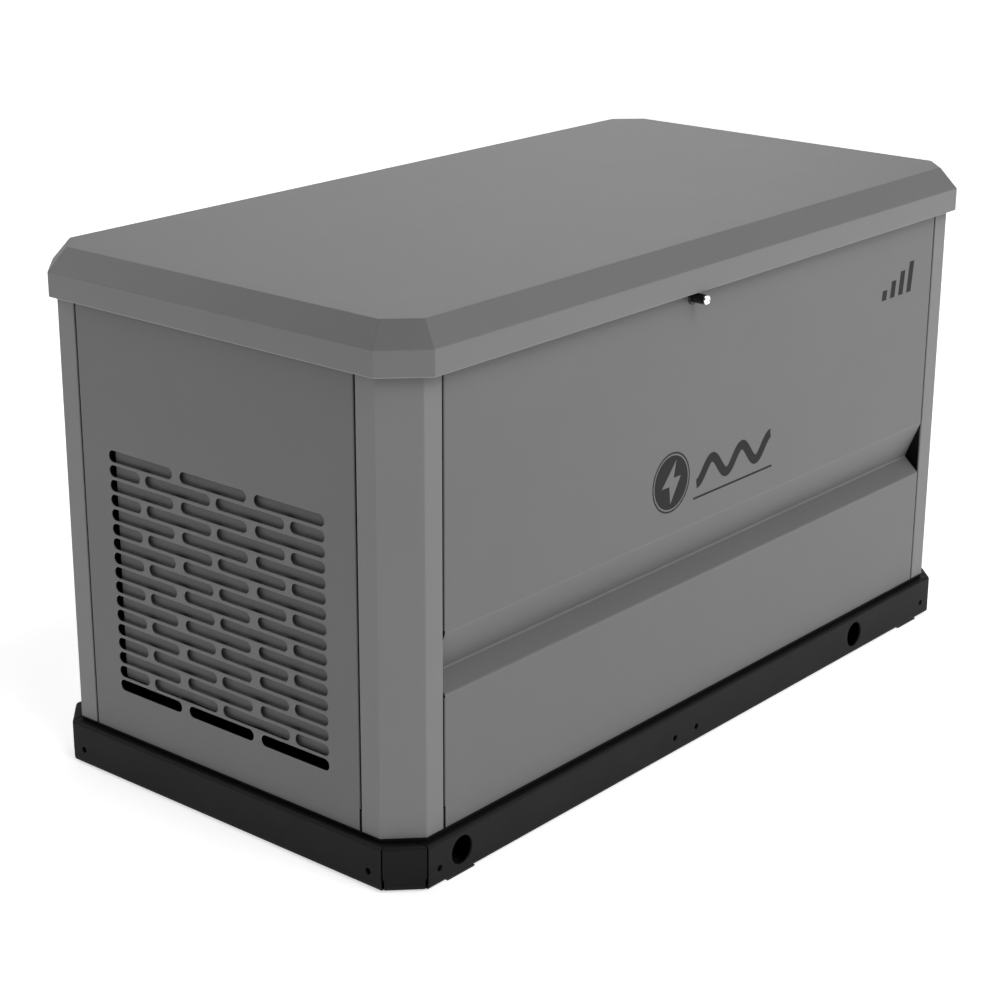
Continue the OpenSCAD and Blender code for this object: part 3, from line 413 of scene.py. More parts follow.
@dataclass
class FoldedSheet:
    """A sheet cut to an outline with holes, then folded along one or two tracks.

    Formula: a blank's point (u, v) goes to origin + across * U(u) + inward * (U'(u) + V'(v))
    + along * V(v), where U and V are the tracks' first coordinates and U' and V' their second,
    and the sheet's thickness follows the product of both tracks' normals.
    """

    outline: Array
    thickness: float
    across_track: Track
    along_track: Track
    holes: list[Hole] = field(default_factory=list)
    rim: float = 0.35 * MM
    # Painted highlight along the bends: the share of the lighter rubbed-paint colour that a fully
    # bent row gets.
    bend_highlight: float = 0.12
    origin: tuple[float, float, float] = (0.0, 0.0, 0.0)
    across: tuple[float, float, float] = (1.0, 0.0, 0.0)
    inward: tuple[float, float, float] = (0.0, 1.0, 0.0)
    along: tuple[float, float, float] = (0.0, 0.0, 1.0)

    def place(self, flat: Array, depth: Array | float) -> tuple[Array, Array]:
        """Where the blank's points are at a depth in the sheet, and how bent it is there."""
        pu, nu, bent_u = self.across_track.at(flat[:, 0])
        pv, nv, bent_v = self.along_track.at(flat[:, 1])
        w = np.broadcast_to(np.asarray(depth, float), (len(flat),))
        x = pu[:, 0] + w * nu[:, 0]
        z = pv[:, 0] + w * nv[:, 0]
        y = pu[:, 1] + pv[:, 1] + w * nu[:, 1] * nv[:, 1]
        axes = np.array([self.across, self.inward, self.along])
        return np.asarray(self.origin) + np.stack([x, y, z], -1) @ axes, np.maximum(bent_u, bent_v)

    def triangles(self) -> tuple[Array, Array]:
        """The flat blank, a rim's width inside its edges, as points and triangles."""
        edge = np.roll(self.outline, -1, 0) - self.outline
        normal = unit(np.stack([-edge[:, 1], edge[:, 0]], -1))
        before = np.roll(normal, 1, 0)
        mitre = (normal + before) / (1 + (normal * before).sum(-1))[:, None]
        shrunk = self.outline + self.rim * mitre
        loops = [shrunk] + [h.outline(self.rim) for h in self.holes]
        low, high = self.outline.min(0) - 5 * MM, self.outline.max(0) + 5 * MM
        lines = [np.array([[s, low[1]], [s, high[1]]]) for s in self.across_track.length[1:-1]]
        lines += [np.array([[low[0], s], [high[0], s]]) for s in self.along_track.length[1:-1]]
        points, edges, start = [], [], 0
        for part, closed in [(p, True) for p in loops] + [(p, False) for p in lines]:
            index = np.arange(start, start + len(part))
            pairs = np.stack([index, np.roll(index, -1)], -1)
            edges += (pairs if closed else pairs[:-1]).tolist()
            points.append(part)
            start += len(part)
        cut = delaunay_2d_cdt((np.concatenate(points) / MM).tolist(), edges, [], 0, 1e-5, False)
        flat = np.array([tuple(v) for v in cut[0]]) * MM
        tris = np.array([f for f in cut[2] if len(f) == 3])
        middle = flat[tris].mean(1)
        keep = inside(shrunk, middle)
        for hole in self.holes:
            keep &= ~replace(hole, radius=hole.radius + self.rim * 0.98).covers(middle)
        tris = tris[keep]
        a, b, c = flat[tris[:, 0]], flat[tris[:, 1]], flat[tris[:, 2]]
        area = (b - a)[:, 0] * (c - a)[:, 1] - (b - a)[:, 1] * (c - a)[:, 0]
        tris = np.where((area < 0)[:, None], tris[:, ::-1], tris)[np.abs(area) > 1e-12]
        return flat, tris

    def solid(self, into: Solid | None = None) -> Solid:
        """The folded sheet with both faces and rounded edges, as a closed solid."""
        solid = into or Solid()
        flat, tris = self.triangles()
        for depth, order in ((0.0, (0, 1, 2)), (self.thickness, (0, 2, 1))):
            place, bent = self.place(flat, depth)
            # Both faces get painted highlight on their bends.
            solid.add(place, tris[:, order], self.bend_highlight * bent)
        sides = np.concatenate([tris[:, [0, 1]], tris[:, [1, 2]], tris[:, [2, 0]]])
        key = np.sort(sides, 1) @ (len(flat), 1)
        _, first, seen = np.unique(key, return_index=True, return_counts=True)
        border = sides[first[seen == 1]]
        edge = flat[border[:, 1]] - flat[border[:, 0]]
        outward = unit(np.stack([edge[:, 1], -edge[:, 0]], -1))
        total = np.zeros_like(flat)
        np.add.at(total, border[:, 0], outward)
        np.add.at(total, border[:, 1], outward)
        length = np.maximum((total ** 2).sum(-1, keepdims=True), 1e-9)
        reach = 2 * total / length
        t = np.linspace(0, np.pi / 2, 4)
        out = self.rim * np.concatenate([np.sin(t), np.sin(t[::-1])])
        deep = self.rim * (1 - np.cos(t))
        deep = np.concatenate([deep, self.thickness - deep[::-1]])
        # The rounded rim rows get rubbed paint and painted highlight, so the edges come out lighter.
        wear_and_highlight_mark = np.concatenate([[0], np.ones(2 * len(t) - 2), [0]])
        ends = [np.stack([self.place(flat[border[:, side]] + o * reach[border[:, side]], w)[0]
                          for o, w in zip(out, deep)]) for side in (0, 1)]
        strip = np.stack(ends, 2)
        rows, count = strip.shape[:2]
        index = np.arange(rows * count * 2).reshape(rows, count, 2)
        quads = np.stack([index[:-1, :, 0], index[:-1, :, 1], index[1:, :, 1], index[1:, :, 0]], -1)
        wear_and_highlight = np.broadcast_to(wear_and_highlight_mark[:, None, None], (rows, count, 2))
        solid.add(strip, quads.reshape(-1, 4), wear_and_highlight)
        return solid


# ---------------------------------------------------------------- finishes

class Grain(Enum):
    """The fine pattern in a finish."""

    PEEL = "the soft ripple of powder coat"
    CAST = "the sandy skin of a casting"
    MOULDED = "the pebbled face of moulded plastic"
    BRUSHED = "fine parallel scratches"
    CELLS = "the open cells of foam"
    BANDS = "thin stacked layers or turns of wire"
    SPANGLE = "the flowers of zinc plating"


@dataclass(frozen=True)
class Finish:
    """A colour and a gloss, with grain, mottling, rubbed edges with painted highlight, and painted
    shade; grain_size and relief in millimetres.
    """

    slot: str
    colour: tuple[float, float, float]
    roughness: float = 0.5
    metallic: float = 0.0
    grain: Grain = Grain.PEEL
    grain_size: float = 1.0
    relief: float = 0.05
    mottle: float = 0.04
    mottle_size: float = 0.12
    tint: tuple[float, float, float] | None = None
    # Rubbed paint and painted highlight: the lighter colour, and its strength, on rims, bends and
    # the lid's hem.
    wear_and_highlight_colour: tuple[float, float, float] | None = None
    wear_and_highlight: float = 0.0
    coat: float = 0.0
    sheen: float = 0.0
    specular: float = 0.5
    # Painted shade: how much the colour darkens near other surfaces.
    painted_shade: float = 0.0
    name: str = ""

    def material(self) -> bpy.types.Material:
        """The finish as a node material, made once."""
        name = self.name or f"{self.slot}_finish"
        known = bpy.data.materials.get(name)
        if known:
            return known
        made = bpy.data.materials.new(name)
        made.use_nodes = True
        made.diffuse_color = (*self.colour, 1.0)
        Graph(made.node_tree).dress(self)
        return made


class Graph:
    """Builds a finish's nodes."""

    def __init__(self, tree: bpy.types.NodeTree) -> None:
        """Takes the tree of a new material, and finds its shader and its coordinates."""
        self.tree = tree
        self.shader = tree.nodes["Principled BSDF"]
        self.where = tree.nodes.new("ShaderNodeTexCoord").outputs["Object"]

    def node(self, kind: str, inputs: dict | None = None, **settings: object) -> bpy.types.Node:
        """A new node, with its settings set and its inputs given as values or linked sockets."""
        node = self.tree.nodes.new("ShaderNode" + kind)
        for key, value in settings.items():
            setattr(node, key, value)
        for key, value in (inputs or {}).items():
            socket = node.inputs[key]
            if isinstance(value, bpy.types.NodeSocket):
                self.tree.links.new(value, socket)
            else:
                socket.default_value = value
        return node

    def noise(self, size: float, detail: float = 3.0, rough: float = 0.5,
              where: bpy.types.NodeSocket | None = None) -> bpy.types.NodeSocket:
        """Noise with features of about that size."""
        inputs = {"Vector": where or self.where, "Scale": 1.0 / size, "Detail": detail,
                  "Roughness": rough}
        return self.node("TexNoise", inputs).outputs[0]

    def spread(self, value: bpy.types.NodeSocket, low: float, high: float,
               start: float = 0.3, end: float = 0.7) -> bpy.types.NodeSocket:
        """The value, which runs from start to end, spread from low to high."""
        inputs = {"Value": value, "From Min": start, "From Max": end, "To Min": low, "To Max": high}
        return self.node("MapRange", inputs).outputs[0]

    def mix(self, share: bpy.types.NodeSocket | float, first: object,
            second: object) -> bpy.types.NodeSocket:
        """A blend of two colours."""
        node = self.node("Mix", data_type="RGBA")
        for key, value in ((0, share), (6, first), (7, second)):
            if isinstance(value, bpy.types.NodeSocket):
                self.tree.links.new(value, node.inputs[key])
            else:
                node.inputs[key].default_value = value if key == 0 else (*value, 1.0)
        return node.outputs[2]

    def relief(self, finish: Finish) -> bpy.types.NodeSocket:
        """The height of the finish's grain, 0 to 1."""
        size = finish.grain_size * MM
        if finish.grain in (Grain.MOULDED, Grain.CELLS):
            cells = self.node("TexVoronoi", {"Vector": self.where, "Scale": 1 / size})
            return self.spread(cells.outputs["Distance"], 0.0, 1.0, 0.0, 0.8)
        if finish.grain is Grain.SPANGLE:
            cells = self.node("TexVoronoi", {"Vector": self.where, "Scale": 1 / size})
            return cells.outputs["Color"]
        if finish.grain is Grain.BRUSHED:
            stretch = self.node("Mapping", {"Vector": self.where, "Scale": (0.02, 1.0, 1.0)})
            return self.noise(size, 4.0, 0.6, stretch.outputs[0])
        if finish.grain is Grain.BANDS:
            inputs = {"Vector": self.where, "Scale": 0.5 / size, "Distortion": 0.4, "Detail": 1.0}
            return self.node("TexWave", inputs, bands_direction="X").outputs["Fac"]
        return self.noise(size, 5.0 if finish.grain is Grain.CAST else 2.0, 0.6)

    def with_painted_shade(self, colour: bpy.types.NodeSocket, base: Array, reach: float, most: float,
               start: float, end: float, darkest: float) -> bpy.types.NodeSocket:
        """The colour with painted shade: made darker where other surfaces are near.

        Args:
            colour: the colour in the open.
            base: the finish's own colour.
            reach: how far away a surface counts as near.
            most: the share of the darkest tone where least light comes in.
            start, end: the open shares of the sky at which the shade is full and gone.
            darkest: the darkest tone as a share of the base colour.

        Returns:
            The colour with painted shade.
        """
        nearby = self.node("AmbientOcclusion", {"Distance": reach}, samples=4)
        shade = self.spread(nearby.outputs["AO"], most, 0.0, start, end)
        return self.mix(shade, colour, tuple(base * darkest))

    def dress(self, finish: Finish) -> None:
        """Links the finish's colour, with its rubbed edges, painted highlight and painted shade, and
        its gloss and bump to the shader.
        """
        shader, base = self.shader, np.array(finish.colour)
        height = self.relief(finish)
        less, more = 1 - finish.mottle, 1 + finish.mottle
        large = self.noise(finish.mottle_size, 4.0, 0.55)
        tint = finish.tint if finish.tint else tuple(base * more)
        colour = self.mix(self.spread(large, 0.0, 1.0), tuple(base * less), tint)
        speck = self.spread(height, 0.0, finish.mottle, 0.2, 0.8)
        colour = self.mix(speck, colour, tuple(np.minimum(base * 1.8 + 0.02, 1.0)))
        rough = self.spread(self.noise(finish.mottle_size * 0.4, 5.0, 0.6),
                            finish.roughness * less, min(finish.roughness * more, 1.0))
        # Rubbed paint and painted highlight: a lighter colour where the mesh marks rims, bends and
        # the hem, broken up by noise.
        if finish.wear_and_highlight:
            wear_and_highlight_mark = self.node("Attribute", attribute_name="wear_and_highlight").outputs["Fac"]
            patchy = self.spread(self.noise(0.03, 3.0), 0.75 * finish.wear_and_highlight, finish.wear_and_highlight)
            share = self.node("Math", {0: wear_and_highlight_mark, 1: patchy}, operation="MULTIPLY").outputs[0]
            colour = self.mix(share, colour, finish.wear_and_highlight_colour or tuple(base * 1.7))
        # Painted shade: two AmbientOcclusion nodes darken the colour near other surfaces, under the
        # lid, in seams and creases and behind the intake slots.
        if finish.painted_shade:
            colour = self.with_painted_shade(colour, base, 60 * MM, finish.painted_shade, 0.15, 1.0, 0.15)
            colour = self.with_painted_shade(colour, base, 7 * MM, 0.85, 0.35, 0.8, 0.05)
        self.tree.links.new(colour, shader.inputs["Base Color"])
        self.tree.links.new(rough, shader.inputs["Roughness"])
        bump = self.node("Bump", {"Height": height, "Strength": 1.0, "Distance": finish.relief * MM})
        self.tree.links.new(bump.outputs[0], shader.inputs["Normal"])
        for socket, value in (("Metallic", finish.metallic), ("Coat Weight", finish.coat),
                              ("Coat Roughness", 0.25), ("Sheen Weight", finish.sheen),
                              ("Specular IOR Level", finish.specular)):
            shader.inputs[socket].default_value = value


# These paints darken near other surfaces as painted shade, and lighten on rims and bends as rubbed
# paint and painted highlight.
GREY_PAINT = Finish("grey_powder_coat", (0.190, 0.190, 0.189), 0.55, grain_size=1.6, relief=0.012,
                    mottle=0.015, painted_shade=0.75, wear_and_highlight=0.75, wear_and_highlight_colour=(0.38, 0.38, 0.375))
# Lighter and darker copies of the lid's grey, set for how lit each part looks: painted light on the
# posts, painted shade on the front, rear and end panels.
LIT_POST_PAINT = replace(GREY_PAINT, colour=(0.205, 0.205, 0.204), name="lit_post_coat")
SHADED_PANEL_PAINT = replace(GREY_PAINT, colour=(0.156, 0.156, 0.155), name="shaded_panel_coat")
SHADED_END_PAINT = replace(GREY_PAINT, colour=(0.148, 0.148, 0.147), name="shaded_end_panel_coat")
BLACK_PAINT = Finish("black_base_coat", (0.014, 0.014, 0.0143), 0.55, grain_size=1.2, relief=0.03,
                     mottle=0.06, wear_and_highlight=0.6, wear_and_highlight_colour=(0.05, 0.05, 0.051), specular=0.09,
                     painted_shade=0.7)
ZINC = Finish("zinc_steel", (0.56, 0.57, 0.58), 0.34, 0.95, Grain.SPANGLE, 4, 0.01, 0.10, 0.02)
CHROME = Finish("chrome", (0.86, 0.87, 0.88), 0.10, 1.0, Grain.BRUSHED, 0.8, 0.002, 0.02, 0.01)
DARK_CHROME = Finish("chrome", (0.035, 0.035, 0.037), 0.22, 0.6, Grain.BRUSHED, 0.8, 0.002, 0.02,
                     0.01, specular=0.3, name="dark_chrome")
RUBBER = Finish("black_rubber", (0.012, 0.012, 0.012), 0.62, 0.0, Grain.PEEL, 0.8, 0.04, 0.15,
                0.03, sheen=0.15)
PLASTIC = Finish("black_plastic", (0.016, 0.016, 0.017), 0.42, 0.0, Grain.MOULDED, 0.9, 0.05,
                 0.08, 0.08, wear_and_highlight=0.5)
FOAM = Finish("foam", (0.030, 0.030, 0.032), 0.95, 0.0, Grain.CELLS, 1.6, 0.6, 0.20, 0.06,
              sheen=0.2, specular=0.2)
ALUMINIUM = Finish("cast_aluminium", (0.50, 0.51, 0.52), 0.46, 0.9, Grain.CAST, 1.4, 0.10, 0.10,
                   0.05, wear_and_highlight=0.4)
STEEL = Finish("machined_steel", (0.55, 0.56, 0.57), 0.24, 1.0, Grain.BRUSHED, 0.7, 0.01, 0.05,
               0.03)
ENAMEL = Finish("black_enamel", (0.013, 0.013, 0.014), 0.28, 0.0, Grain.PEEL, 2.0, 0.02, 0.05,
                0.06, coat=0.4, wear_and_highlight=0.5)
HOT_STEEL = Finish("hot_steel", (0.36, 0.27, 0.20), 0.42, 0.9, Grain.CAST, 1.8, 0.05, 0.22, 0.07,
                   tint=(0.25, 0.27, 0.36))
COPPER = Finish("copper_windings", (0.60, 0.22, 0.08), 0.32, 0.85, Grain.BANDS, 1.2, 0.5, 0.15,
                0.03)
LAMINATION = Finish("lamination", (0.20, 0.17, 0.14), 0.45, 0.7, Grain.BANDS, 0.9, 0.15, 0.12,
                    0.04)
WHITE = Finish("white_enamel", (0.72, 0.72, 0.70), 0.30, 0.0, Grain.PEEL, 2, 0.02, 0.03, 0.05,
               coat=0.3)
YELLOW = Finish("yellow_plastic", (0.72, 0.42, 0.03), 0.38, 0.0, Grain.MOULDED, 0.7, 0.02, 0.04,
                0.02)
GREEN = Finish("green_plastic", (0.04, 0.33, 0.10), 0.33, 0.0, Grain.MOULDED, 0.6, 0.01, 0.04,
               0.01)
RED = replace(GREEN, slot="red_plastic", colour=(0.50, 0.03, 0.02))
BLUE = replace(GREEN, slot="blue_plastic", colour=(0.04, 0.14, 0.42))
COVER_PLASTIC = replace(PLASTIC, colour=(0.045, 0.046, 0.048), name="cover_plastic")
RED_LEAD = replace(RUBBER, slot="red_plastic", colour=(0.36, 0.02, 0.015), name="red_lead")
LEAD = replace(ZINC, colour=(0.30, 0.30, 0.31), roughness=0.5, name="lead_clamp")
PLATE = replace(WHITE, colour=(0.42, 0.43, 0.44), roughness=0.4, name="button_plate")
DISPLAY = Finish("black_plastic", (0.02, 0.035, 0.03), 0.12, grain_size=2, relief=0.001,
                 mottle=0.02, coat=0.8, name="display_glass")
# The display's digits: a bright green that stands for the light they give, painted light.
LIT_SEGMENTS = Finish("green_plastic", (0.25, 0.75, 0.42), 0.4, relief=0.001, name="display_segments")
PRINT = Finish("black_plastic", (0.022, 0.022, 0.023), 0.55, grain_size=0.8, relief=0.005,
               mottle=0.03, specular=0.12, name="printed_ink")
# Painted shade: the plate behind the intake slots is a darker copy of the grey, strongly darkened
# near the slots.
SHADED_BAFFLE_PAINT = Finish("grey_powder_coat", (0.122, 0.122, 0.121), 0.7, grain_size=1.6, relief=0.02,
                      mottle=0.03, painted_shade=0.85, name="shaded_baffle_coat")
BRASS = Finish("brass", (0.72, 0.50, 0.18), 0.30, 1.0, Grain.BRUSHED, 0.8, 0.01, 0.06, 0.02)


# ---------------------------------------------------------------- pieces

def new_object(name: str, data: bpy.types.ID) -> bpy.types.Object:
    """An object with that data, in the scene."""
    made = bpy.data.objects.new(name, data)
    bpy.context.scene.collection.objects.link(made)
    return made


def show(solid: Solid, name: str, body: str, finish: Finish, stands_for: Sequence[str] = (),
         smooth_below: float = 32.0) -> bpy.types.Object:
    """Makes a solid a piece of the model.

    Args:
        solid: its surfaces.
        name: the piece's name.
        body: the body it moves with.
        finish: its material and slot.
        stands_for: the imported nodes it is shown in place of.
        smooth_below: edges that turn by more degrees than this stay sharp.

    Returns:
        The piece.
    """
    mesh = solid.mesh(name, smooth_below)
    mesh.materials.append(finish.material())
    piece = new_object(name, mesh)
    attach(piece, body)
    if stands_for:
        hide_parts(*stands_for)
    normals = piece.modifiers.new("normals", "WEIGHTED_NORMAL")
    normals.keep_sharp, normals.weight = True, 80
    log.info("%s: %d faces, rides on %s", name, len(mesh.polygons), body)
    return piece


def extent(node: str) -> tuple[Array, Array]:
    """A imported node's lowest and highest corner."""
    low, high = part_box(node)
    return np.array(low), np.array(high)


def half_size(node: str) -> Array:
    """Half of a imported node's size along each axis."""
    low, high = extent(node)
    return (high - low) / 2


CORNERS = tuple((f"{side}_{end}", sx, sy) for end, sx in (("left", -1), ("right", 1))
                for side, sy in (("front", -1), ("rear", 1)))


@dataclass
class Base:
    """The black folded base: two long rails, two end rails and four corner plates."""

    sheet: float = 3.0 * MM
    flange: float = 30 * MM
    bend: float = 4.5 * MM
    corner_leg: float = 39.5 * MM
    plate_gap: float = 1.6 * MM
    plate_tip: float = 2 * MM
    rail_gap: float = 1 * MM
    rim: float = 0.5 * MM
    lift_hole: float = 18.5 * MM
    lift_height: float = 29.3 * MM
    lift_places: tuple[float, ...] = (-0.5107, 0.3588)
    rail_hole: float = 4.3 * MM
    rail_hole_height: float = 21 * MM
    rail_hole_places: tuple[float, ...] = (-0.5505, -0.0822, -0.034, 0.5478)
    end_hole_height: float = 20.4 * MM
    end_hole_place: float = 0.252
    notch: float = 1.6 * MM
    notch_height: float = 14 * MM

    def channel(self, height: float) -> Track:
        """A C section: lower flange, web and upper flange, with round bends."""
        corners = [(0, self.flange), (0, 0), (height, 0), (height, self.flange)]
        track = Track(round_path(corners, self.bend))
        return Track(track.points, -self.web_start(track))

    @staticmethod
    def web_start(track: Track) -> float:
        """How far along a channel's track its web would start if its bends were sharp."""
        on_web = np.flatnonzero(np.abs(track.points[:, 1]) < 1e-9)[0]
        return float(track.length[on_web] - track.points[on_web, 0])

    def rail(self, name: str, node: str, half_length: float, face: float, height: float, low: float,
             holes: list[Hole], turn: float) -> None:
        """One rail, its web outwards.

        Args:
            name: the piece's name.
            node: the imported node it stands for.
            half_length: half the rail's length.
            face: the distance of the web's face from the middle.
            height: of the rail.
            low: the height of its lower face.
            holes: in the web.
            turn: the direction the web faces, as an angle about Z from -Y.
        """
        track = self.channel(height)
        c, s = math.cos(turn), math.sin(turn)
        blank = rectangle((-half_length, track.low), (half_length, track.high))
        # The rails' bends get strong painted highlight.
        sheet = FoldedSheet(blank, self.sheet, straight(-half_length, half_length), track, holes,
                            rim=self.rim, bend_highlight=0.5, origin=(face * s, -face * c, low),
                            across=(c, s, 0), inward=(-s, c, 0))
        show(sheet.solid(), name, FIXED, BLACK_PAINT, [node])

    def corner(self, name: str, sx: int, sy: int, half: Array, height: float, low: float) -> None:
        """One corner plate: an angled web with flanges that narrow to a point inside.

        Args:
            name: the piece's name.
            sx, sy: which corner, as signs.
            half: the base's half sizes.
            height: of the rails.
            low: the height of the plate's lower face.
        """
        track = self.channel(height)
        width = (self.corner_leg - 2 * self.plate_gap) * math.sqrt(2) / 2
        reach = min(width, self.flange) - self.plate_tip
        n, h = self.notch, self.notch_height
        right = [(width - reach, -reach), (width - n, 0), (width - n, h), (width, h + n),
                 (width, height), (width - reach, height + reach)]
        blank = np.array(right + [(-u, v) for u, v in reversed(right)])
        turn = math.atan2(sx, -sy)
        c, s = math.cos(turn), math.sin(turn)
        centre = np.array([sx, sy]) * (half - self.corner_leg / 2)
        # The plate's bends get strong painted highlight.
        sheet = FoldedSheet(blank, self.sheet, straight(-width, width), track, rim=self.rim,
                            bend_highlight=0.5, origin=(*centre, low), across=(c, s, 0),
                            inward=(-s, c, 0))
        show(sheet.solid(), name, FIXED, BLACK_PAINT, ["base_corner_plates"])

    def build(self) -> None:
        """Makes the rails and the corner plates."""
        low, high = extent("base_long_rails")
        half = np.array([half_size("base_end_rails")[0], half_size("base_long_rails")[1]])
        height, floor = float(high[2] - low[2]), float(low[2])
        cut = self.corner_leg + self.rail_gap
        for name, side in (("front_base_rail", 1), ("rear_base_rail", -1)):
            holes = [Hole(side * x, self.lift_height, self.lift_hole) for x in self.lift_places]
            holes += [Hole(side * x, self.rail_hole_height, self.rail_hole)
                      for x in self.rail_hole_places]
            self.rail(name, "base_long_rails", half[0] - cut, half[1], height, floor, holes,
                      0.0 if side > 0 else math.pi)
        for name, side in (("left_base_rail", -1), ("right_base_rail", 1)):
            holes = [Hole(y, self.end_hole_height, self.rail_hole)
                     for y in (-self.end_hole_place, self.end_hole_place)]
            self.rail(name, "base_end_rails", half[1] - cut, half[0], height, floor, holes,
                      side * math.pi / 2)
        for name, sx, sy in CORNERS:
            self.corner(f"{name}_base_corner", sx, sy, half, height, floor)


@dataclass
class Enclosure:
    """The grey panels and posts between the base and the lid, and the plate behind the intake."""

    sheet: float = 1.5 * MM
    corner_leg: float = 38.4 * MM
    post_return: float = 30.5 * MM
    bend: float = 2.2 * MM
    flange: float = 18 * MM
    flange_clear: float = 27.5 * MM
    notch_clear: float = 6 * MM
    zone_clear: float = 4 * MM
    seam_relief: float = 0.4 * MM
    crease_top: float = 0.310
    crease_line: float = 0.255
    crease_bottom: float = 0.234
    crease_depth: float = 22.7 * MM
    crease_bends: tuple[float, float, float] = (4 * MM, 3 * MM, 5 * MM)
    slot_rows: int = 17
    slot_pitch: float = 19.1 * MM
    slot_height: float = 15.2 * MM
    slot_field: float = 0.3668
    slot_low: float = 0.1325
    wide_gap: float = 12.6 * MM
    narrow_gap: float = 8.7 * MM
    long_slot: float = 0.1145
    lock_hole: float = 6.5 * MM
    rear_holes: tuple[tuple, ...] = ((0.470, 0.170, 18.2 * MM), (0.250, 0.130, 17 * MM))
    baffle_edge: float = 178 * MM
    baffle_gap: float = 4 * MM
    baffle_draw: float = 1.0 * MM
    baffle_drop: float = 6.5 * MM
    baffle_tab: float = 20 * MM
    baffle_flange: float = 60 * MM

    def __post_init__(self) -> None:
        """Reads the posts' and panels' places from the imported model."""
        low, high = extent("corner_posts")
        self.half = (high - low)[:2] / 2
        self.low, self.high = float(low[2]), float(high[2])
        self.front_half = float(half_size("front_panel")[0]) - self.seam_relief
        self.end_half = float(half_size("left_grille_panel")[1]) - self.seam_relief
        self.flange_high = self.high - self.flange
        self.flange_low = self.low + self.flange_clear

    def build(self) -> None:
        """Makes the posts, the four panels and the plate behind the intake slots."""
        self.posts()
        self.front()
        self.rear()
        self.ends()
        self.baffle()

    def posts(self) -> None:
        """Four posts, each folded from one strip, with its flanges cut short at both ends."""
        x, y, c, r = *self.half, self.corner_leg, self.post_return - self.seam_relief
        corners = [(x - self.flange, y - c - r), (x, y - c - r), (x, y - c), (x - c, y),
                   (x - c - r, y), (x - c - r, y - self.flange)]
        track = Track(round_path([(-a, -b) for a, b in corners], self.bend))
        first = track.low + self.flange - 1.2 * self.bend
        last = track.high - self.flange + 1.2 * self.bend
        low, high = self.flange_low, self.flange_high
        notch_low = self.crease_bottom - self.notch_clear
        notch_high = self.crease_top + self.notch_clear
        blank = np.array([
            (track.low, low), (first, low), (first, self.low), (last, self.low), (last, low),
            (track.high, low), (track.high, notch_low), (last, notch_low), (last, notch_high),
            (track.high, notch_high), (track.high, high), (last, high), (last, self.high),
            (first, self.high), (first, high), (track.low, high)])
        for name, sx, sy in CORNERS:
            sheet = FoldedSheet(blank, self.sheet, track, straight(self.low, self.high),
                                across=(-sx, 0, 0), inward=(0, -sy, 0))
            show(sheet.solid(), f"{name}_post", FIXED, LIT_POST_PAINT, ["corner_posts"])

    def panel(self, half: float, profile: Track,
              flange_zones: Sequence[tuple[float, float]]) -> tuple[Array, Track]:
        """The blank of a panel with side flanges in some stretches of its height, and its fold.

        Args:
            half: the folded panel's half width.
            profile: its track over its height.
            flange_zones: from and to of each stretch with flanges, in the profile's coordinates.

        Returns:
            The blank's outline and the track across it.
        """
        depth = self.flange
        path = round_path([(-half, depth), (-half, 0), (half, 0), (half, depth)], self.bend)
        track = Track(path, -Track(path).high / 2)
        face = half - 0.4 * self.bend
        right = [(face, profile.low)]
        for low, high in flange_zones:
            right += [(face, low), (track.high, low), (track.high, high), (face, high)]
        right += [(face, profile.high)]
        return np.array(right + [(-u, v) for u, v in reversed(right)]), track

    def front(self) -> None:
        """The front panel, creased along its whole length."""
        x, y = self.front_half, self.half[1]
        corners = [(self.low, 0), (self.crease_bottom, 0), (self.crease_line, self.crease_depth),
                   (self.crease_top, 0), (self.high, 0)]
        profile = Track(round_path(corners, self.crease_bends), self.low)
        rise = profile.high - self.high
        zones = [(self.flange_low, self.crease_bottom - self.zone_clear),
                 (self.crease_top + rise + self.zone_clear, self.flange_high + rise)]
        lock = sum(extent("lock_barrel")) / 2
        hole = Hole(float(lock[0]), float(lock[2]) + rise, self.lock_hole)
        blank, track = self.panel(x, profile, zones)
        sheet = FoldedSheet(blank, self.sheet, track, profile, [hole], origin=(0, -y, 0))
        show(sheet.solid(), "front_panel_skin", FIXED, SHADED_PANEL_PAINT, ["front_panel"])

    def rear(self) -> None:
        """The rear panel, flat, with the holes for the gas inlet and the conduit."""
        x, y = self.front_half, self.half[1]
        profile = straight(self.low, self.high)
        holes = [Hole(*hole) for hole in self.rear_holes]
        blank, track = self.panel(x, profile, [(self.flange_low, self.flange_high)])
        sheet = FoldedSheet(blank, self.sheet, track, profile, holes, origin=(0, y, 0),
                            across=(-1, 0, 0), inward=(0, -1, 0))
        show(sheet.solid(), "rear_panel_skin", FIXED, SHADED_PANEL_PAINT, ["rear_panel"])

    def slots(self) -> list[Hole]:
        """Rows of three long slots, and between them rows of two long and two short."""
        half, radius = self.slot_field / 2, self.slot_height / 2
        third = (self.slot_field - 2 * self.wide_gap) / 3
        short = (self.slot_field - 2 * self.long_slot - 3 * self.narrow_gap) / 2
        made = []
        for row in range(self.slot_rows):
            if row % 2 == 0:
                lengths, gap = [third] * 3, self.wide_gap
            else:
                lengths, gap = [short, self.long_slot, self.long_slot, short], self.narrow_gap
            start = -half
            for length in lengths:
                made.append(Hole(start + length / 2, self.slot_low + row * self.slot_pitch, radius,
                                 length / 2 - radius))
                start += length + gap
        return made

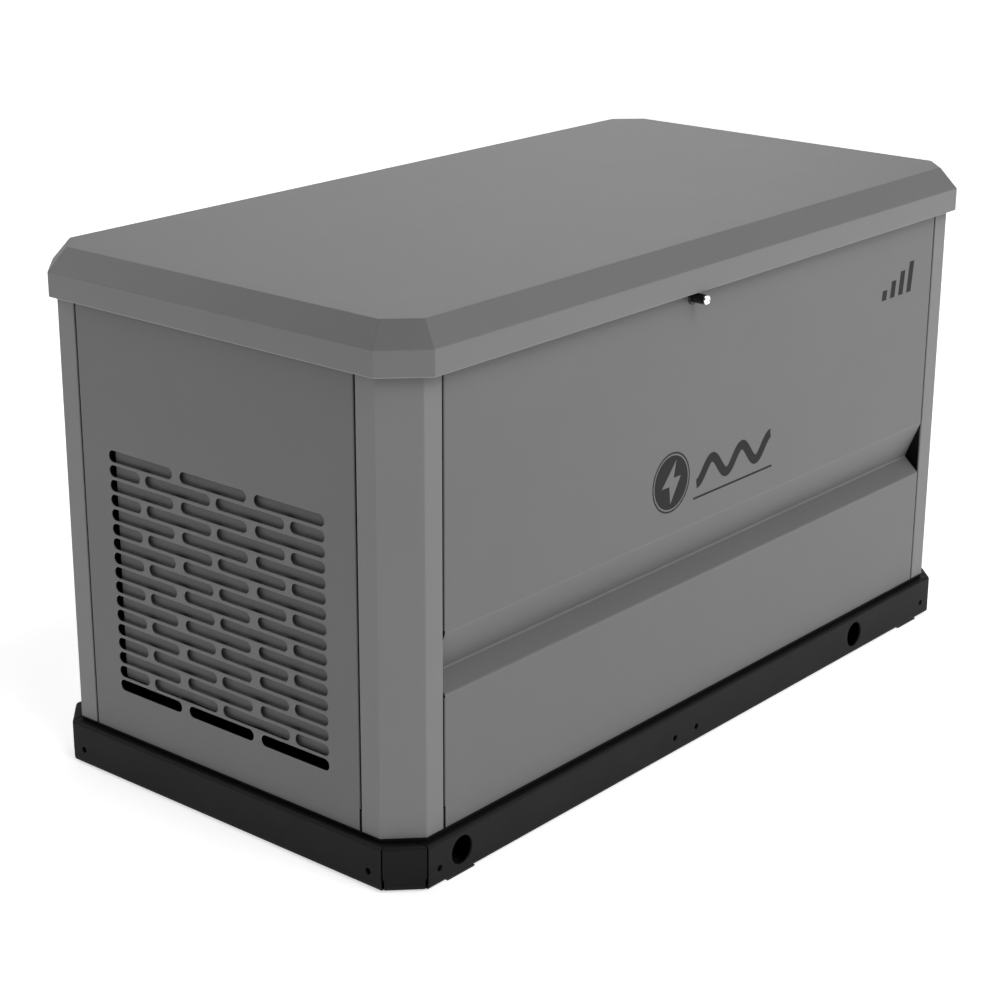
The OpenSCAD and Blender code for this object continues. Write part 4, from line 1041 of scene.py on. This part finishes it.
    def ends(self) -> None:
        """The slotted panels at both ends."""
        profile = straight(self.low, self.high)
        holes = self.slots()
        blank, track = self.panel(self.end_half, profile, [(self.flange_low, self.flange_high)])
        for name, side in (("left", -1), ("right", 1)):
            sheet = FoldedSheet(blank, self.sheet, track, profile, holes,
                                origin=(side * self.half[0], 0, 0), across=(0, side, 0),
                                inward=(-side, 0, 0))
            show(sheet.solid(), f"{name}_grille_skin", FIXED, SHADED_END_PAINT, [f"{name}_grille_panel"])

    def baffle(self) -> None:
        """The plate behind the intake slots: its middle is pressed forward, close to the slots.

        Formula: the profile runs from the pressed face over its wall to the rim and back inside;
        each row is an inset from the rim and a distance behind the panel.
        """
        low, high = extent("intake_baffle")
        low[2] -= self.baffle_drop
        deep, t, gap, draw = float(high[0] - low[0]), self.sheet, self.baffle_gap, self.baffle_draw
        rows = [(draw + t, gap), (draw + 0.4 * t, gap + 0.1 * t), (draw, gap + 0.6 * t),
                (draw / 2, deep - t), (0, deep - t), (0, deep), (draw / 2 + t, deep),
                (draw + t, gap + 1.6 * t), (draw + 2 * t, gap + t)]
        rim = (low[1] + t, low[2]), (self.baffle_edge, high[2])
        pan = loft(partial(rectangle, *rim), rows, 3 * MM)
        pan.points = [np.roll(points, 1, -1) + (low[0], 0, 0) for points in pan.points]
        back, tab, flange = high[0] - t, high[2] - self.baffle_tab, high[2] - self.baffle_flange
        for start, end in ((low, (high[0], low[1] + t, high[2])),
                           ((back, self.baffle_edge, tab), high),
                           ((low[0], high[1] - t, flange), (back, high[1], high[2]))):
            block(start, end, t / 3, t / 4, pan)
        show(pan, "intake_baffle_sheet", FIXED, SHADED_BAFFLE_PAINT, ["intake_baffle"])


@dataclass
class Lid:
    """The folded and welded lid with its foam liner."""

    sheet: float = 1.5 * MM
    leg: float = 48 * MM
    top_leg: float = 35.7 * MM
    bevel: float = 23 * MM
    skirt: float = 31.7 * MM
    bend: float = 2.6 * MM
    weld: float = 1.6 * MM
    hem: float = 11 * MM
    hem_bend: float = 1.2 * MM
    flat_start: float = 60 * MM
    liner_cut: float = 34 * MM
    crate_pitch: float = 32 * MM
    crate_depth: float = 11 * MM

    def build(self) -> None:
        """Makes the shell and the liner."""
        self.shell()
        self.liner()

    def shell(self) -> None:
        """The shell: from its top face down bevel and skirt, round the hem and back inside."""
        low, high = extent("lid_shell")
        half = (high - low)[:2] / 2
        rate = (self.leg - self.top_leg) / self.bevel
        foot, top, t, middle = float(low[2]), float(high[2]), self.sheet, self.flat_start
        fold, hem = foot + self.skirt, foot + self.hem
        lining, slack = 2 * t + 0.4 * MM, 0.6 * MM
        outer = round_path([(middle, top), (self.bevel, top), (0, fold), (0, foot)], self.bend)
        inner = round_path([(lining, foot), (lining, hem), (t, hem + t), (t, fold - slack),
                            (self.bevel + slack, top - t), (middle, top - t)], self.hem_bend)
        turns = corner_arcs(np.array([[0, fold], [t, foot]]), np.array([[0, foot], [lining, foot]]),
                            np.array([[2 * t, foot], [lining, fold]]), self.hem_bend, 4)
        rows = np.concatenate([outer[:-1], *turns, inner[1:]])
        # The rows round the hem's fold get painted highlight.
        wear_and_highlight_mark = np.zeros(len(rows))
        wear_and_highlight_mark[len(outer):len(outer) + 4] = 1.0
        shape = partial(octagon, half[0], half[1], self.leg, leg_rate=rate)
        solid = loft(shape, rows, self.weld, 4, wear_and_highlight=wear_and_highlight_mark)
        show(solid, "lid_skin", "lid", GREY_PAINT, ["lid_shell"])

    def liner(self) -> None:
        """Acoustic foam with a face of rounded peaks, which fade out towards its edge.

        Formula: the face is a product of two cosines in x and y, and u and v run from -1 to 1
        across an octagon whose width narrows at its cut corners.
        """
        low, high = extent("lid_liner")
        half, cut, pitch = (high - low)[:2] / 2, self.liner_cut, self.crate_pitch
        v = np.linspace(-1, 1, 116)[:, None]
        u = np.linspace(-1, 1, 232)[None, :]
        y = half[1] * v
        x = (half[0] - np.maximum(np.abs(y) - (half[1] - cut), 0)) * u
        y = np.broadcast_to(y, x.shape)
        wave = 0.5 + 0.5 * np.cos(2 * np.pi * x / pitch) * np.cos(2 * np.pi * y / pitch)
        edge = np.clip((1 - np.maximum(np.abs(u), np.abs(v))) * 14, 0, 1)
        fade = edge * edge * (3 - 2 * edge)
        face = low[2] + 1 * MM + self.crate_depth * wave * fade
        back = np.full_like(x, high[2])
        border = lambda a: np.concatenate([a[0], a[1:-1, -1], a[-1, ::-1], a[-2:0:-1, 0]])
        walls = np.stack([np.stack([border(x), border(y), border(h)], -1) for h in (face, back)])
        solid = Solid().grid(np.stack([x, y, face], -1)).grid(walls, False, True)
        solid.faces.append(list(range(solid.count - walls.shape[1], solid.count)))
        piece = show(solid, "lid_foam", "lid", FOAM, ["lid_liner"], 70.0)


@dataclass
class Lock:
    """The key lock that stands out of the front panel just under the lid."""

    barrel: float = 6.35 * MM
    core: float = 4.65 * MM
    flange: float = 9.5 * MM
    flange_thickness: float = 2 * MM
    edge: float = 0.9 * MM
    bore_edge: float = 0.3 * MM
    cap: float = 2.0 * MM

    def build(self) -> None:
        """Makes the dark barrel with its collar, bored for the core, and its polished face."""
        low, high = extent("lock_barrel")
        x, _, z = (low + high) / 2
        front, back, panel = float(low[1]), float(high[1]), float(extent("front_panel")[0][1])
        split, collar, e = front + self.cap, panel - self.flange_thickness, self.edge
        sleeve = [(self.core, back), (self.core, split), (self.barrel, split),
                  (self.barrel, collar), (self.flange - e, collar), (self.flange, collar + e),
                  (self.flange, panel), (self.barrel, panel), (self.barrel, back), (self.core, back)]
        face = [(self.core, split), (self.core, front + self.bore_edge),
                (self.core + self.bore_edge, front), (self.barrel - e, front),
                (self.barrel, front + e), (self.barrel, split), (self.core, split)]
        place, sharp = (x, 0, z), 25.0
        show(lathe(sleeve, place, "y"), "lock_sleeve", FIXED, DARK_CHROME, ["lock_barrel"], sharp)
        show(lathe(face, place, "y"), "lock_face_ring", FIXED, CHROME, [], sharp)


@dataclass
class Badge:
    """Plain printed marks on the front panel: a bolt in a ring, a wave, a rule and four bars."""

    film: float = 0.12 * MM
    ring: float = 40 * MM
    ring_width: float = 2 * MM
    disc: float = 35.5 * MM
    disc_spot: tuple[float, float] = (-0.0955, 0.380)
    wave_spot: tuple[float, float] = (0.044, 0.378)
    wave_half: float = 84 * MM
    wave_height: float = 14 * MM
    stroke_half: float = 6.5 * MM
    rule_spot: tuple[float, float] = (0.044, 0.345)
    bar_spot: tuple[float, float] = (0.402, 0.543)
    bar_pitch: float = 22 * MM
    bar_slant: float = 0.12

    def print_flat(self, name: str, outline: Array, centre: Sequence[float],
                   holes: Sequence[Hole] = (), finish: Finish = PRINT, layer: int = 1) -> None:
        """One mark: a thin flat film on the panel's face, or on the film under it."""
        y = float(extent("front_panel")[0][1])
        low, high = outline.min(0), outline.max(0)
        sheet = FoldedSheet(outline, self.film, straight(low[0] - 1, high[0] + 1),
                            straight(low[1] - 1, high[1] + 1), list(holes), rim=0.03 * MM,
                            origin=(centre[0], y - layer * self.film, centre[1]))
        show(sheet.solid(), name, FIXED, finish)

    def build(self) -> None:
        """Makes the marks."""
        t = np.linspace(0, 2 * np.pi, 72, endpoint=False)
        circle = np.stack([np.cos(t), np.sin(t)], -1)
        self.print_flat("badge_ring", self.ring * circle, self.disc_spot,
                        [Hole(0, 0, self.ring - self.ring_width)])
        self.print_flat("badge_disc", self.disc * circle, self.disc_spot)
        flash = 10.5 * mm((-0.1, -2.7), (1.9, 0.5), (0.45, 0.5), (0.9, 2.7), (-1.9, -0.45),
                          (-0.4, -0.45))
        self.print_flat("badge_bolt", flash, self.disc_spot, (), SHADED_PANEL_PAINT, 2)
        s = np.linspace(-1, 1, 81)
        line = np.stack([self.wave_half * s, self.wave_height * np.sin(2.5 * np.pi * s)], -1)
        slope = unit(np.gradient(line, axis=0))
        side = self.stroke_half * np.stack([-slope[:, 1], slope[:, 0]], -1)
        wave = np.concatenate([line - side, (line + side)[::-1]])
        self.print_flat("badge_wave", wave, self.wave_spot)
        self.print_flat("badge_rule", rectangle(*mm((-90, -1.4), (90, 1.4))), self.rule_spot)
        (x, z), foot = self.bar_spot, -23 * MM
        for k in range(4):
            bar = rectangle(*mm((-6, -23), (6, -9 + 10 * k)))
            bar[:, 0] += self.bar_slant * (bar[:, 1] - foot)
            self.print_flat(f"rating_bar_{k + 1}", bar, (x + self.bar_pitch * k, z))


def bolt(into: Solid, place: Sequence[float], out: Sequence[float], across: float,
         tall: float) -> None:
    """Adds a hexagon bolt head on a washer.

    Formula: rings of 6 or 24 points stand across the direction out, at radii for the washer's disc
    and the head's corners, and the head's top edge is chamfered.

    Args:
        into: the solid it is added to.
        place: the middle of the washer's lower face.
        out: the direction that the head points in.
        across: the head's width across its corners.
        tall: the height of washer and head.
    """
    axis = unit(np.asarray(out, float))
    side = unit(np.cross(axis, np.array([0.36, 0.48, 0.8])))
    up = np.cross(axis, side)
    r = across / 2
    for sides, rows in ((24, [(1.25 * r, 0), (1.25 * r, 0.2 * tall), (1.1 * r, 0.25 * tall)]),
                        (6, [(r, 0.2 * tall), (r, 0.88 * tall), (0.86 * r, tall)])):
        angle = np.linspace(0, 2 * np.pi, sides, endpoint=False)
        turn = np.cos(angle)[:, None] * side + np.sin(angle)[:, None] * up
        rings = np.stack([np.asarray(place) + radius * turn + h * axis for radius, h in rows])
        into.grid(rings, False, True, True)


@dataclass
class Engine:
    """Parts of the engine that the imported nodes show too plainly."""

    shaft: tuple[float, float] = (30 * MM, 235 * MM)
    banks: tuple[tuple[float, int], ...] = ((-48 * MM, -1), (-12 * MM, 1))
    cover_start: float = 255 * MM
    cover_end: float = 288 * MM
    cover_half: tuple[float, float] = (50 * MM, 46 * MM)
    rib_count: int = 5
    box_left: float = -105 * MM
    box_step: float = 4 * MM
    lip: float = 16 * MM
    wire: float = 0.9 * MM
    snorkel_radius: float = 24 * MM

    def build(self) -> None:
        """Makes the rocker covers, the air filter box and the engine's bolts."""
        self.rocker_covers()
        self.air_filter()
        self.filter_fittings()
        self.bolts()

    def on_bank(self, bank: tuple[float, int], points: Array) -> Array:
        """Turns points that stand on an upright cylinder into the place of one of the two banks.

        Formula: a turn by 45 degrees about the shaft, towards -Y or +Y, then a shift along it.
        """
        x, side = bank
        c = math.cos(math.pi / 4)
        y, z = points[..., 1], points[..., 2]
        return np.stack([points[..., 0] + x, self.shaft[0] + c * (y + side * z),
                         self.shaft[1] + c * (z - side * y)], -1)

    def rocker_covers(self) -> None:
        """Two pressed covers with a flange, ribs on top and six bolts each."""
        foot, top, half = self.cover_start, self.cover_end, np.array(self.cover_half)
        rows = np.concatenate([mm((0, 0), (0, 4), (0.8, 5), (4.6, 6), (5.4, 8)) + (0, foot),
                               mm((6.2, -9), (8.5, -4.5), (13, -2.6)) + (0, top)])
        radius = mm(*[10] * 4, *[8] * 4)
        spots = mm(*[(x, y, 4) for x in (-44, 0, 44) for y in (-42.3, 42.3)]) + (0, 0, foot)
        for bank, name in zip(self.banks, ("front", "rear")):
            cover = loft(partial(rectangle, -half, half), rows, radius)
            for x in np.linspace(-26, 26, self.rib_count) * MM:
                block(*(mm((-2.2, -29, -3), (2.2, 29, 0)) + (x, 0, top)), 2 * MM, 0.8 * MM, cover)
            cover.points = [self.on_bank(bank, p) for p in cover.points]
            show(cover, f"{name}_rocker_cover", FIXED, ENAMEL, ["rocker_covers"])
            heads, c = Solid(), math.cos(math.pi / 4)
            for spot in self.on_bank(bank, spots):
                bolt(heads, spot, (0, bank[1] * c, c), 7 * MM, 5 * MM)
            show(heads, f"{name}_cover_bolts", FIXED, ZINC)

    def air_filter(self) -> None:
        """The filter box: a body with three beads, and a ribbed cover with a rounded rim."""
        low, high = extent("air_filter_box")
        left, step = self.box_left, self.box_step
        body_low = (left, low[1] + step, low[2])
        body_high = (high[0] - step, high[1] - step, high[2] - self.lip + 1 * MM)
        body = block(body_low, body_high, 12 * MM, 3 * MM)
        for z in (22, 40, 58):
            rows = mm((0.2, z), (-1.6, z + 1.5), (-1.6, z + 3), (0.2, z + 4.5)) + (0, low[2])
            body.join(loft(partial(rectangle, body_low, body_high), rows, 12 * MM, closed=True))
        show(body, "filter_body", FIXED, PLASTIC, ["air_filter_box"])
        rows = mm((1.5, -16), (0, -14.5), (0, -9), (2, -5), (6, -3.5), (12, -3.2)) + (0, high[2])
        cover = loft(partial(rectangle, (left - step, low[1]), high), rows, mm(*[15] * 4, 12, 9))
        for x in np.linspace(left + 24 * MM, high[0] - 26 * MM, 6):
            ends = np.array([(x, low[1], high[2]), (x, high[1], high[2])])
            block(*(ends + mm((-3.5, 22, -4), (3.5, -22, 0))), 3.4 * MM, 1.2 * MM, cover)
        show(cover, "filter_cover", FIXED, COVER_PLASTIC)

    def filter_fittings(self) -> None:
        """The filter box's wire clips, and its ribbed snorkel."""
        low, high = extent("air_filter_box")
        clips = Solid()
        for x in (self.box_left + 34 * MM, high[0] - 38 * MM):
            for side, edge in ((-1, low[1]), (1, high[1])):
                route = mm((0, -5 * side, -38), (0, -0.9 * side, -34), (0, -0.9 * side, -14),
                           (0, -3.5 * side, -5), (0, -12 * side, -3)) + (x, edge, high[2])
                for shift in (-6, 6):
                    tube(smooth_line(route + mm(shift, 0, 0), 4), self.wire, 8, clips)
                tube(route[2] + mm((-7, 0, 0), (7, 0, 0)), self.wire, 8, clips)
        show(clips, "filter_clips", FIXED, ZINC)
        wall, mouth, end = self.snorkel_radius, float(low[0]), self.box_left + 1 * MM
        lip = mm((-4, 1), (-2.5, 0), (1, 0), (2, 2), (2, 7))
        ribs = [mm((-1.5, h), (-1.5, h + 3), (1.5, h + 5)) for h in (11, 21, 31, 41)]
        near = np.concatenate([lip, *ribs]) + (wall, mouth)
        bore = wall - 4 * MM
        profile = np.concatenate([[(bore, end)], near, [(wall, end), (bore, end)]])
        duct = lathe(profile, (0, self.shaft[0], low[2] + 50 * MM), "x", 0.8 * MM, 40)
        show(duct, "snorkel", FIXED, RUBBER, (), 40.0)

    def bolts(self) -> None:
        """Bolt heads round the fan housing and round the alternator's end."""
        heads = Solid()
        y, z = self.shaft
        for radius, x, out, count, phase in ((141, 185, 1, 10, 0.3), (113, -458, -1, 8, 0.39)):
            for angle in phase + np.linspace(0, 2 * np.pi, count, endpoint=False):
                spot = mm(x - 1.2 * out, radius * math.cos(angle), radius * math.sin(angle))
                bolt(heads, spot + (0, y, z), (out, 0, 0), 9 * MM, 5 * MM)
        show(heads, "housing_bolts", FIXED, ZINC)


@dataclass
class Electrics:
    """The fittings of battery and control box, the hose and the leads; routes in millimetres."""

    fuel: tuple = ((-470, 216, 245.5), (-470, 216, 275), (-462, 215, 345), (-420, 210, 420),
                   (-300, 200, 480), (-160, 170, 500), (-62, 136, 496), (-34, 112, 491.5),
                   (-30, 94, 491), (-30, 78.4, 491))
    positive: tuple = ((-375, -235, 272), (-375, -235, 283), (-374, -235, 302), (-340, -235, 330),
                       (-250, -225, 300), (-130, -200, 270), (-60, -170, 250), (-31, -150, 235))
    negative: tuple = ((-505, -235, 272), (-505, -235, 283), (-503, -232, 308), (-480, -180, 340),
                       (-400, -130, 320), (-260, -112, 250), (-200, -108, 160), (-190, -100, 120),
                       (-190, -86, 116))
    hose_radius: float = 8.8 * MM
    lead_radius: float = 4.8 * MM
    battery_low: tuple[float, float] = (-535 * MM, -270 * MM)
    battery_high: tuple[float, float, float] = (-345 * MM, -100 * MM, 256.5 * MM)
    box_top: float = 605 * MM

    def build(self) -> None:
        """Makes the lines, the battery's fittings and the control panel."""
        self.lines()
        self.battery()
        self.panel()
        self.lamps_and_screws()

    def lines(self) -> None:
        """The fuel hose with its clamps, and the two battery leads, as smooth curves."""
        hose, lead = self.hose_radius, self.lead_radius
        for name, route, radius, finish in (("fuel_hose", self.fuel, hose, RUBBER),
                                            ("positive_lead", self.positive, lead, RED_LEAD),
                                            ("negative_lead", self.negative, lead, RUBBER)):
            line = smooth_line(mm(*route), 14)
            show(tube(line, radius, 20), name, FIXED, finish, ["hoses_and_leads"], 50.0)
        clamps = Solid()
        for centre, axis in ((mm(-470, 216, 252), "z"), (mm(-30, 84, 491), "y")):
            lathe(mm((9, -5), (10, -5), (10, 5), (9, 5), (9, -5)), centre, axis, 0, 32, clamps)
            block(*(centre + mm((9, -4, -4), (17, 4, 4))), 1 * MM, 0.8 * MM, clamps)
        show(clamps, "hose_clamps", FIXED, ZINC)

    def battery(self) -> None:
        """A lid with a raised middle and filler caps, a hold-down strap, and terminal clamps."""
        high = np.array(self.battery_high)
        low = np.array((*self.battery_low, high[2]))
        lid = block(low, high + mm(0, 0, 3), 6 * MM, 1.2 * MM)
        block(low + mm(6, 65, 2), high + mm(-6, -6, 9), 5 * MM, 1.5 * MM, lid)
        for x in np.linspace(-510, -370, 6) * MM:
            lathe(mm((0, 13), (7.5, 13), (8.5, 12), (8.5, 8), (0, 8)), (x, -150 * MM, high[2]),
                  "z", 0, 28, lid)
        show(lid, "battery_lid", FIXED, COVER_PLASTIC)
        strap = block(low + mm(89, -1.6, -30), high + mm(-89, 1.6, 10.5), 1 * MM, 0.8 * MM)
        show(strap, "battery_strap", FIXED, ZINC)
        for name, x in (("negative_clamp", -505), ("positive_clamp", -375)):
            spot = mm(x, -235, 0) + (0, 0, high[2])
            clamp = lathe(mm((8.2, 2), (13, 2), (13, 11), (8.2, 12), (8.2, 2)),
                          spot + mm(0, 0, 2), "z", 0.7 * MM, 32)
            block(*(spot + mm((10, -6, 4), (26, 6, 13))), 1.5 * MM, 0.8 * MM, clamp)
            bolt(clamp, spot + mm(20, -6, 8.5), (0, -1, 0), 7 * MM, 5 * MM)
            show(clamp, name, FIXED, LEAD)

    def panel(self) -> None:
        """The control box's lit display and the plate round its buttons."""
        top = self.box_top
        glass = block(*(mm((197, -231, -1.4), (271, -205, -0.4)) + (0, 0, top)), 1 * MM, 0.3 * MM)
        show(glass, "display_glass", FIXED, DISPLAY)
        text = Solid()
        for y, count in ((-214.5, 9), (-223.5, 6)):
            for k in range(count):
                place = mm(201 + 5.4 * k, y, 0) + (0, 0, top)
                block(*(place + mm((0, -3, -0.5), (3.2, 0, -0.3))), 0.2 * MM, 0.05 * MM, text)
        show(text, "display_segments", FIXED, LIT_SEGMENTS)
        low, high = mm((190, -273), (290, -240))
        middles = [sum(extent(f"{key}_button")) / 2 for key in ("auto", "off", "manual")]
        holes = [Hole(float(middle[0]), float(middles[0][1]), 8.6 * MM) for middle in middles]
        plate = FoldedSheet(round_loop(rectangle(low, high), 4 * MM, 5), 0.6 * MM,
                            straight(low[0] - 1, high[0] + 1), straight(low[1] - 1, high[1] + 1),
                            holes, rim=0.15 * MM, origin=(0, 0, top + 0.6 * MM),
                            inward=(0, 0, -1), along=(0, 1, 0))
        show(plate.solid(), "button_plate", FIXED, PLATE)

    def lamps_and_screws(self) -> None:
        """The two domed lamps and the control box's four round screw heads."""
        dome = mm((0, 2.6), (1.2, 2.3), (2, 1.3), (2.2, 0), (0, -0.5))
        for name, x, finish in (("ready_lamp", 281, GREEN), ("alarm_lamp", 287, RED)):
            lamp = lathe(dome, mm(x, -218, 0) + (0, 0, self.box_top), "z", 0, 20)
            show(lamp, name, FIXED, finish, (), 60.0)
        head = mm((0, 1.2), (1.6, 1.6), (3, 1.2), (3.6, 0), (0, -0.5))
        screws = Solid()
        for x, y in ((146, -272), (146, -201), (294, -272), (294, -201)):
            lathe(head, mm(x, y, 0) + (0, 0, self.box_top), "z", 0, 20, screws)
        show(screws, "box_screws", FIXED, ZINC)


@dataclass
class Hardware:
    """Screws on the hinges and the ring nut of the conduit entry; places in millimetres."""

    hinges: tuple[int, ...] = (-420, 0, 420)
    screw_shift: int = 14
    screw_height: int = 574
    leaf: float = 1.9 * MM
    conduit: tuple[int, int] = (-250, 130)

    def build(self) -> None:
        """Makes the screw heads on the hinge leaves and the ring nut at the rear."""
        heads = Solid()
        y = float(extent("rear_panel")[1][1])
        for hinge in self.hinges:
            for x in (hinge - self.screw_shift, hinge + self.screw_shift):
                bolt(heads, mm(x, 0, self.screw_height) + (0, y + self.leaf, 0), (0, 1, 0),
                     8 * MM, 4 * MM)
        x, z = self.conduit
        nut = mm((17, 0), (24, 0), (24, 4), (19, 5), (17, 5), (17, 0))
        lathe(nut, mm(x, 0, z) + (0, y, 0), "y", 0, 40, heads)
        show(heads, "rear_screws", FIXED, ZINC)


@dataclass
class Nodes:
    """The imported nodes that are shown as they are, with their finishes."""

    table: dict[str, Finish] = field(default_factory=lambda: {
        "feet": RUBBER, "deck_tray": BLACK_PAINT, "deck_bolts": ZINC, "top_frame": GREY_PAINT,
        "bulkhead": ZINC, "top_seal": RUBBER, "hinge_base_leaves": GREY_PAINT, "hinge_pins": STEEL,
        "strut_mounts": ZINC, "lid_frame": GREY_PAINT, "lid_hinge_leaves": GREY_PAINT,
        "lid_strut_brackets": ZINC, "lock_keeper": ZINC, "strut_tubes": ENAMEL,
        "strut_rods": CHROME, "lock_core": CHROME, "engine_cradle": ENAMEL,
        "engine_mounts": RUBBER, "crankcase": ALUMINIUM, "cylinder_barrels": ALUMINIUM,
        "cylinder_heads": ALUMINIUM, "spark_plugs": RUBBER, "intake_manifold": ALUMINIUM,
        "fuel_mixer": ALUMINIUM, "throttle_lever": BRASS, "fan_shroud": ENAMEL,
        "oil_filter": WHITE, "oil_dipstick": YELLOW, "starter_motor": ENAMEL,
        "exhaust_pipes": HOT_STEEL, "muffler": HOT_STEEL, "crankshaft": STEEL,
        "flywheel_fan": ALUMINIUM, "rotor": COPPER, "shaft_bearings": STEEL,
        "alternator_housing": ALUMINIUM, "stator_core": LAMINATION,
        "alternator_end_bell": ALUMINIUM, "battery": PLASTIC, "control_box": PLASTIC,
        "auto_button": GREEN, "off_button": RED, "manual_button": BLUE,
        "breaker_toggle": PLASTIC, "gas_regulator": ALUMINIUM})

    def build(self) -> None:
        """Puts each node's finish on it."""
        for name, finish in self.table.items():
            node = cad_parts[name]
            node.data.materials.clear()
            node.data.materials.append(finish.material())
            log.info("%s: finish %s", name, finish.slot)


@dataclass
class Studio:
    """A white floor, soft light and the camera."""

    camera_place: tuple[float, float, float] = (-2.3717, -1.9239, 1.3369)
    azimuth: float = -50.09
    elevation: float = 19.4
    roll: float = 0.3
    lens: float = 83.87
    floor_half: float = 30.0
    floor_glow: float = 0.66
    # A dark sheet under the base, as painted shade that keeps the glowing floor dark there.
    shade_sheet_half: tuple[float, float] = (0.585, 0.285)
    shade_sheet_height: float = 0.4 * MM
    surround: float = 0.02
    sun_spread: float = 35.0
    aim: tuple[float, float, float] = (0.0, 0.0, 0.34)
    suns: tuple[tuple, ...] = (("front_sky", 0, 50, 1.25), ("right_rear_sky", 120, 35, 0.50),
                               ("rear_sky", 180, 30, 0.60), ("right_sky", 60, 30, 0.16))
    boxes: tuple[tuple, ...] = (
        ("rear_right_box", (2.2, 2.2, 2.2), (2.6, 1.8), 15.0),
        ("rear_left_box", (-1.6, 2.4, 2.0), (2.4, 1.6), 12.0),
        ("front_box", (0.6, -2.6, 2.2), (3.0, 1.4), 9.0),
        ("right_box", (1.7, -1.9, 0.55), (1.6, 0.9), 5.5))

    def build(self) -> None:
        """Makes the floor, the lights, the world and the camera."""
        bpy.context.scene.view_settings.view_transform = "Standard"
        self.ground("floor", (self.floor_half, self.floor_half), 0.0, self.floor_paint())
        # Painted shade: the dark sheet under the base.
        self.ground("shade_sheet", self.shade_sheet_half, self.shade_sheet_height, RUBBER.material())
        self.camera()
        self.world()
        for name, azimuth, elevation, strength in self.suns:
            self.sun(name, azimuth, elevation, strength)
        for name, place, size, power in self.boxes:
            self.area(name, place, size, power)

    def floor_paint(self) -> bpy.types.Material:
        """A plain white that glows a little, so that the floor stays white."""
        paint = bpy.data.materials.new("studio_floor")
        paint.use_nodes = True
        shader = paint.node_tree.nodes["Principled BSDF"]
        for socket, value in (("Base Color", (0.80, 0.80, 0.80, 1)), ("Roughness", 0.9),
                              ("Specular IOR Level", 0.0), ("Emission Color", (1, 1, 1, 1)),
                              ("Emission Strength", self.floor_glow)):
            shader.inputs[socket].default_value = value
        return paint

    def ground(self, name: str, half: Sequence[float], height: float,
               paint: bpy.types.Material) -> None:
        """A level rectangle under the object: the floor, and a dark sheet under the base that paints
        the shade there.
        """
        half = np.array(half)
        corners = np.concatenate([rectangle(-half, half), np.full((4, 1), height)], 1)
        mesh = bpy.data.meshes.new(name)
        mesh.from_pydata(corners, [], [(0, 1, 2, 3)])
        mesh.materials.append(paint)
        new_object(name, mesh)

    def world(self) -> None:
        """An even, faint white surround."""
        world = bpy.data.worlds.new("studio")
        world.use_nodes = True
        background = world.node_tree.nodes["Background"]
        background.inputs["Color"].default_value = (1, 1, 1, 1)
        background.inputs["Strength"].default_value = self.surround
        bpy.context.scene.world = world

    @staticmethod
    def direction(azimuth: float, elevation: float) -> Vector:
        """The way to a place in the sky; azimuth 0 is -Y and 90 is +X, in degrees."""
        a, e = math.radians(azimuth), math.radians(elevation)
        return Vector((math.sin(a) * math.cos(e), -math.cos(a) * math.cos(e), math.sin(e)))

    @staticmethod
    def aimed(lamp: bpy.types.Object, heading: Vector) -> None:
        """Turns a lamp so that it shines along the heading."""
        lamp.rotation_mode = "QUATERNION"
        lamp.rotation_quaternion = heading.to_track_quat("-Z", "Y")

    def sun(self, name: str, azimuth: float, elevation: float, strength: float) -> None:
        """Broad parallel light from a place in the sky."""
        light = bpy.data.lights.new(name, "SUN")
        light.energy, light.angle = strength, math.radians(self.sun_spread)
        self.aimed(new_object(name, light), -self.direction(azimuth, elevation))

    def area(self, name: str, place: Sequence[float], size: tuple[float, float],
             power: float) -> None:
        """A soft box aimed at the middle of the object."""
        light = bpy.data.lights.new(name, "AREA")
        light.shape, light.size, light.size_y, light.energy = "RECTANGLE", *size, power
        lamp = new_object(name, light)
        lamp.location = place
        self.aimed(lamp, Vector(self.aim) - Vector(place))

    def camera(self) -> None:
        """The camera, from its azimuth, elevation and roll."""
        a, r = math.radians(self.azimuth), math.radians(self.roll)
        back = self.direction(self.azimuth, self.elevation)
        right = Vector((math.cos(a), math.sin(a), 0))
        tilted = right * math.cos(r) + back.cross(right) * math.sin(r)
        data = bpy.data.cameras.new("camera")
        data.sensor_width, data.lens = 36.0, self.lens
        camera = new_object("camera", data)
        turn = Matrix((tilted, back.cross(tilted), back)).transposed()
        camera.matrix_world = Matrix.Translation(self.camera_place) @ turn.to_4x4()
        bpy.context.scene.camera = camera


def main() -> None:
    """Builds the generator, then the studio round it."""
    logging.basicConfig(level=logging.INFO, format="%(message)s")
    parts = (Studio(), Nodes(), Base(), Enclosure(), Lid(), Lock(), Badge(), Engine(), Electrics(),
             Hardware())
    for part in parts:
        part.build()


if __name__ == "__main__":
    main()
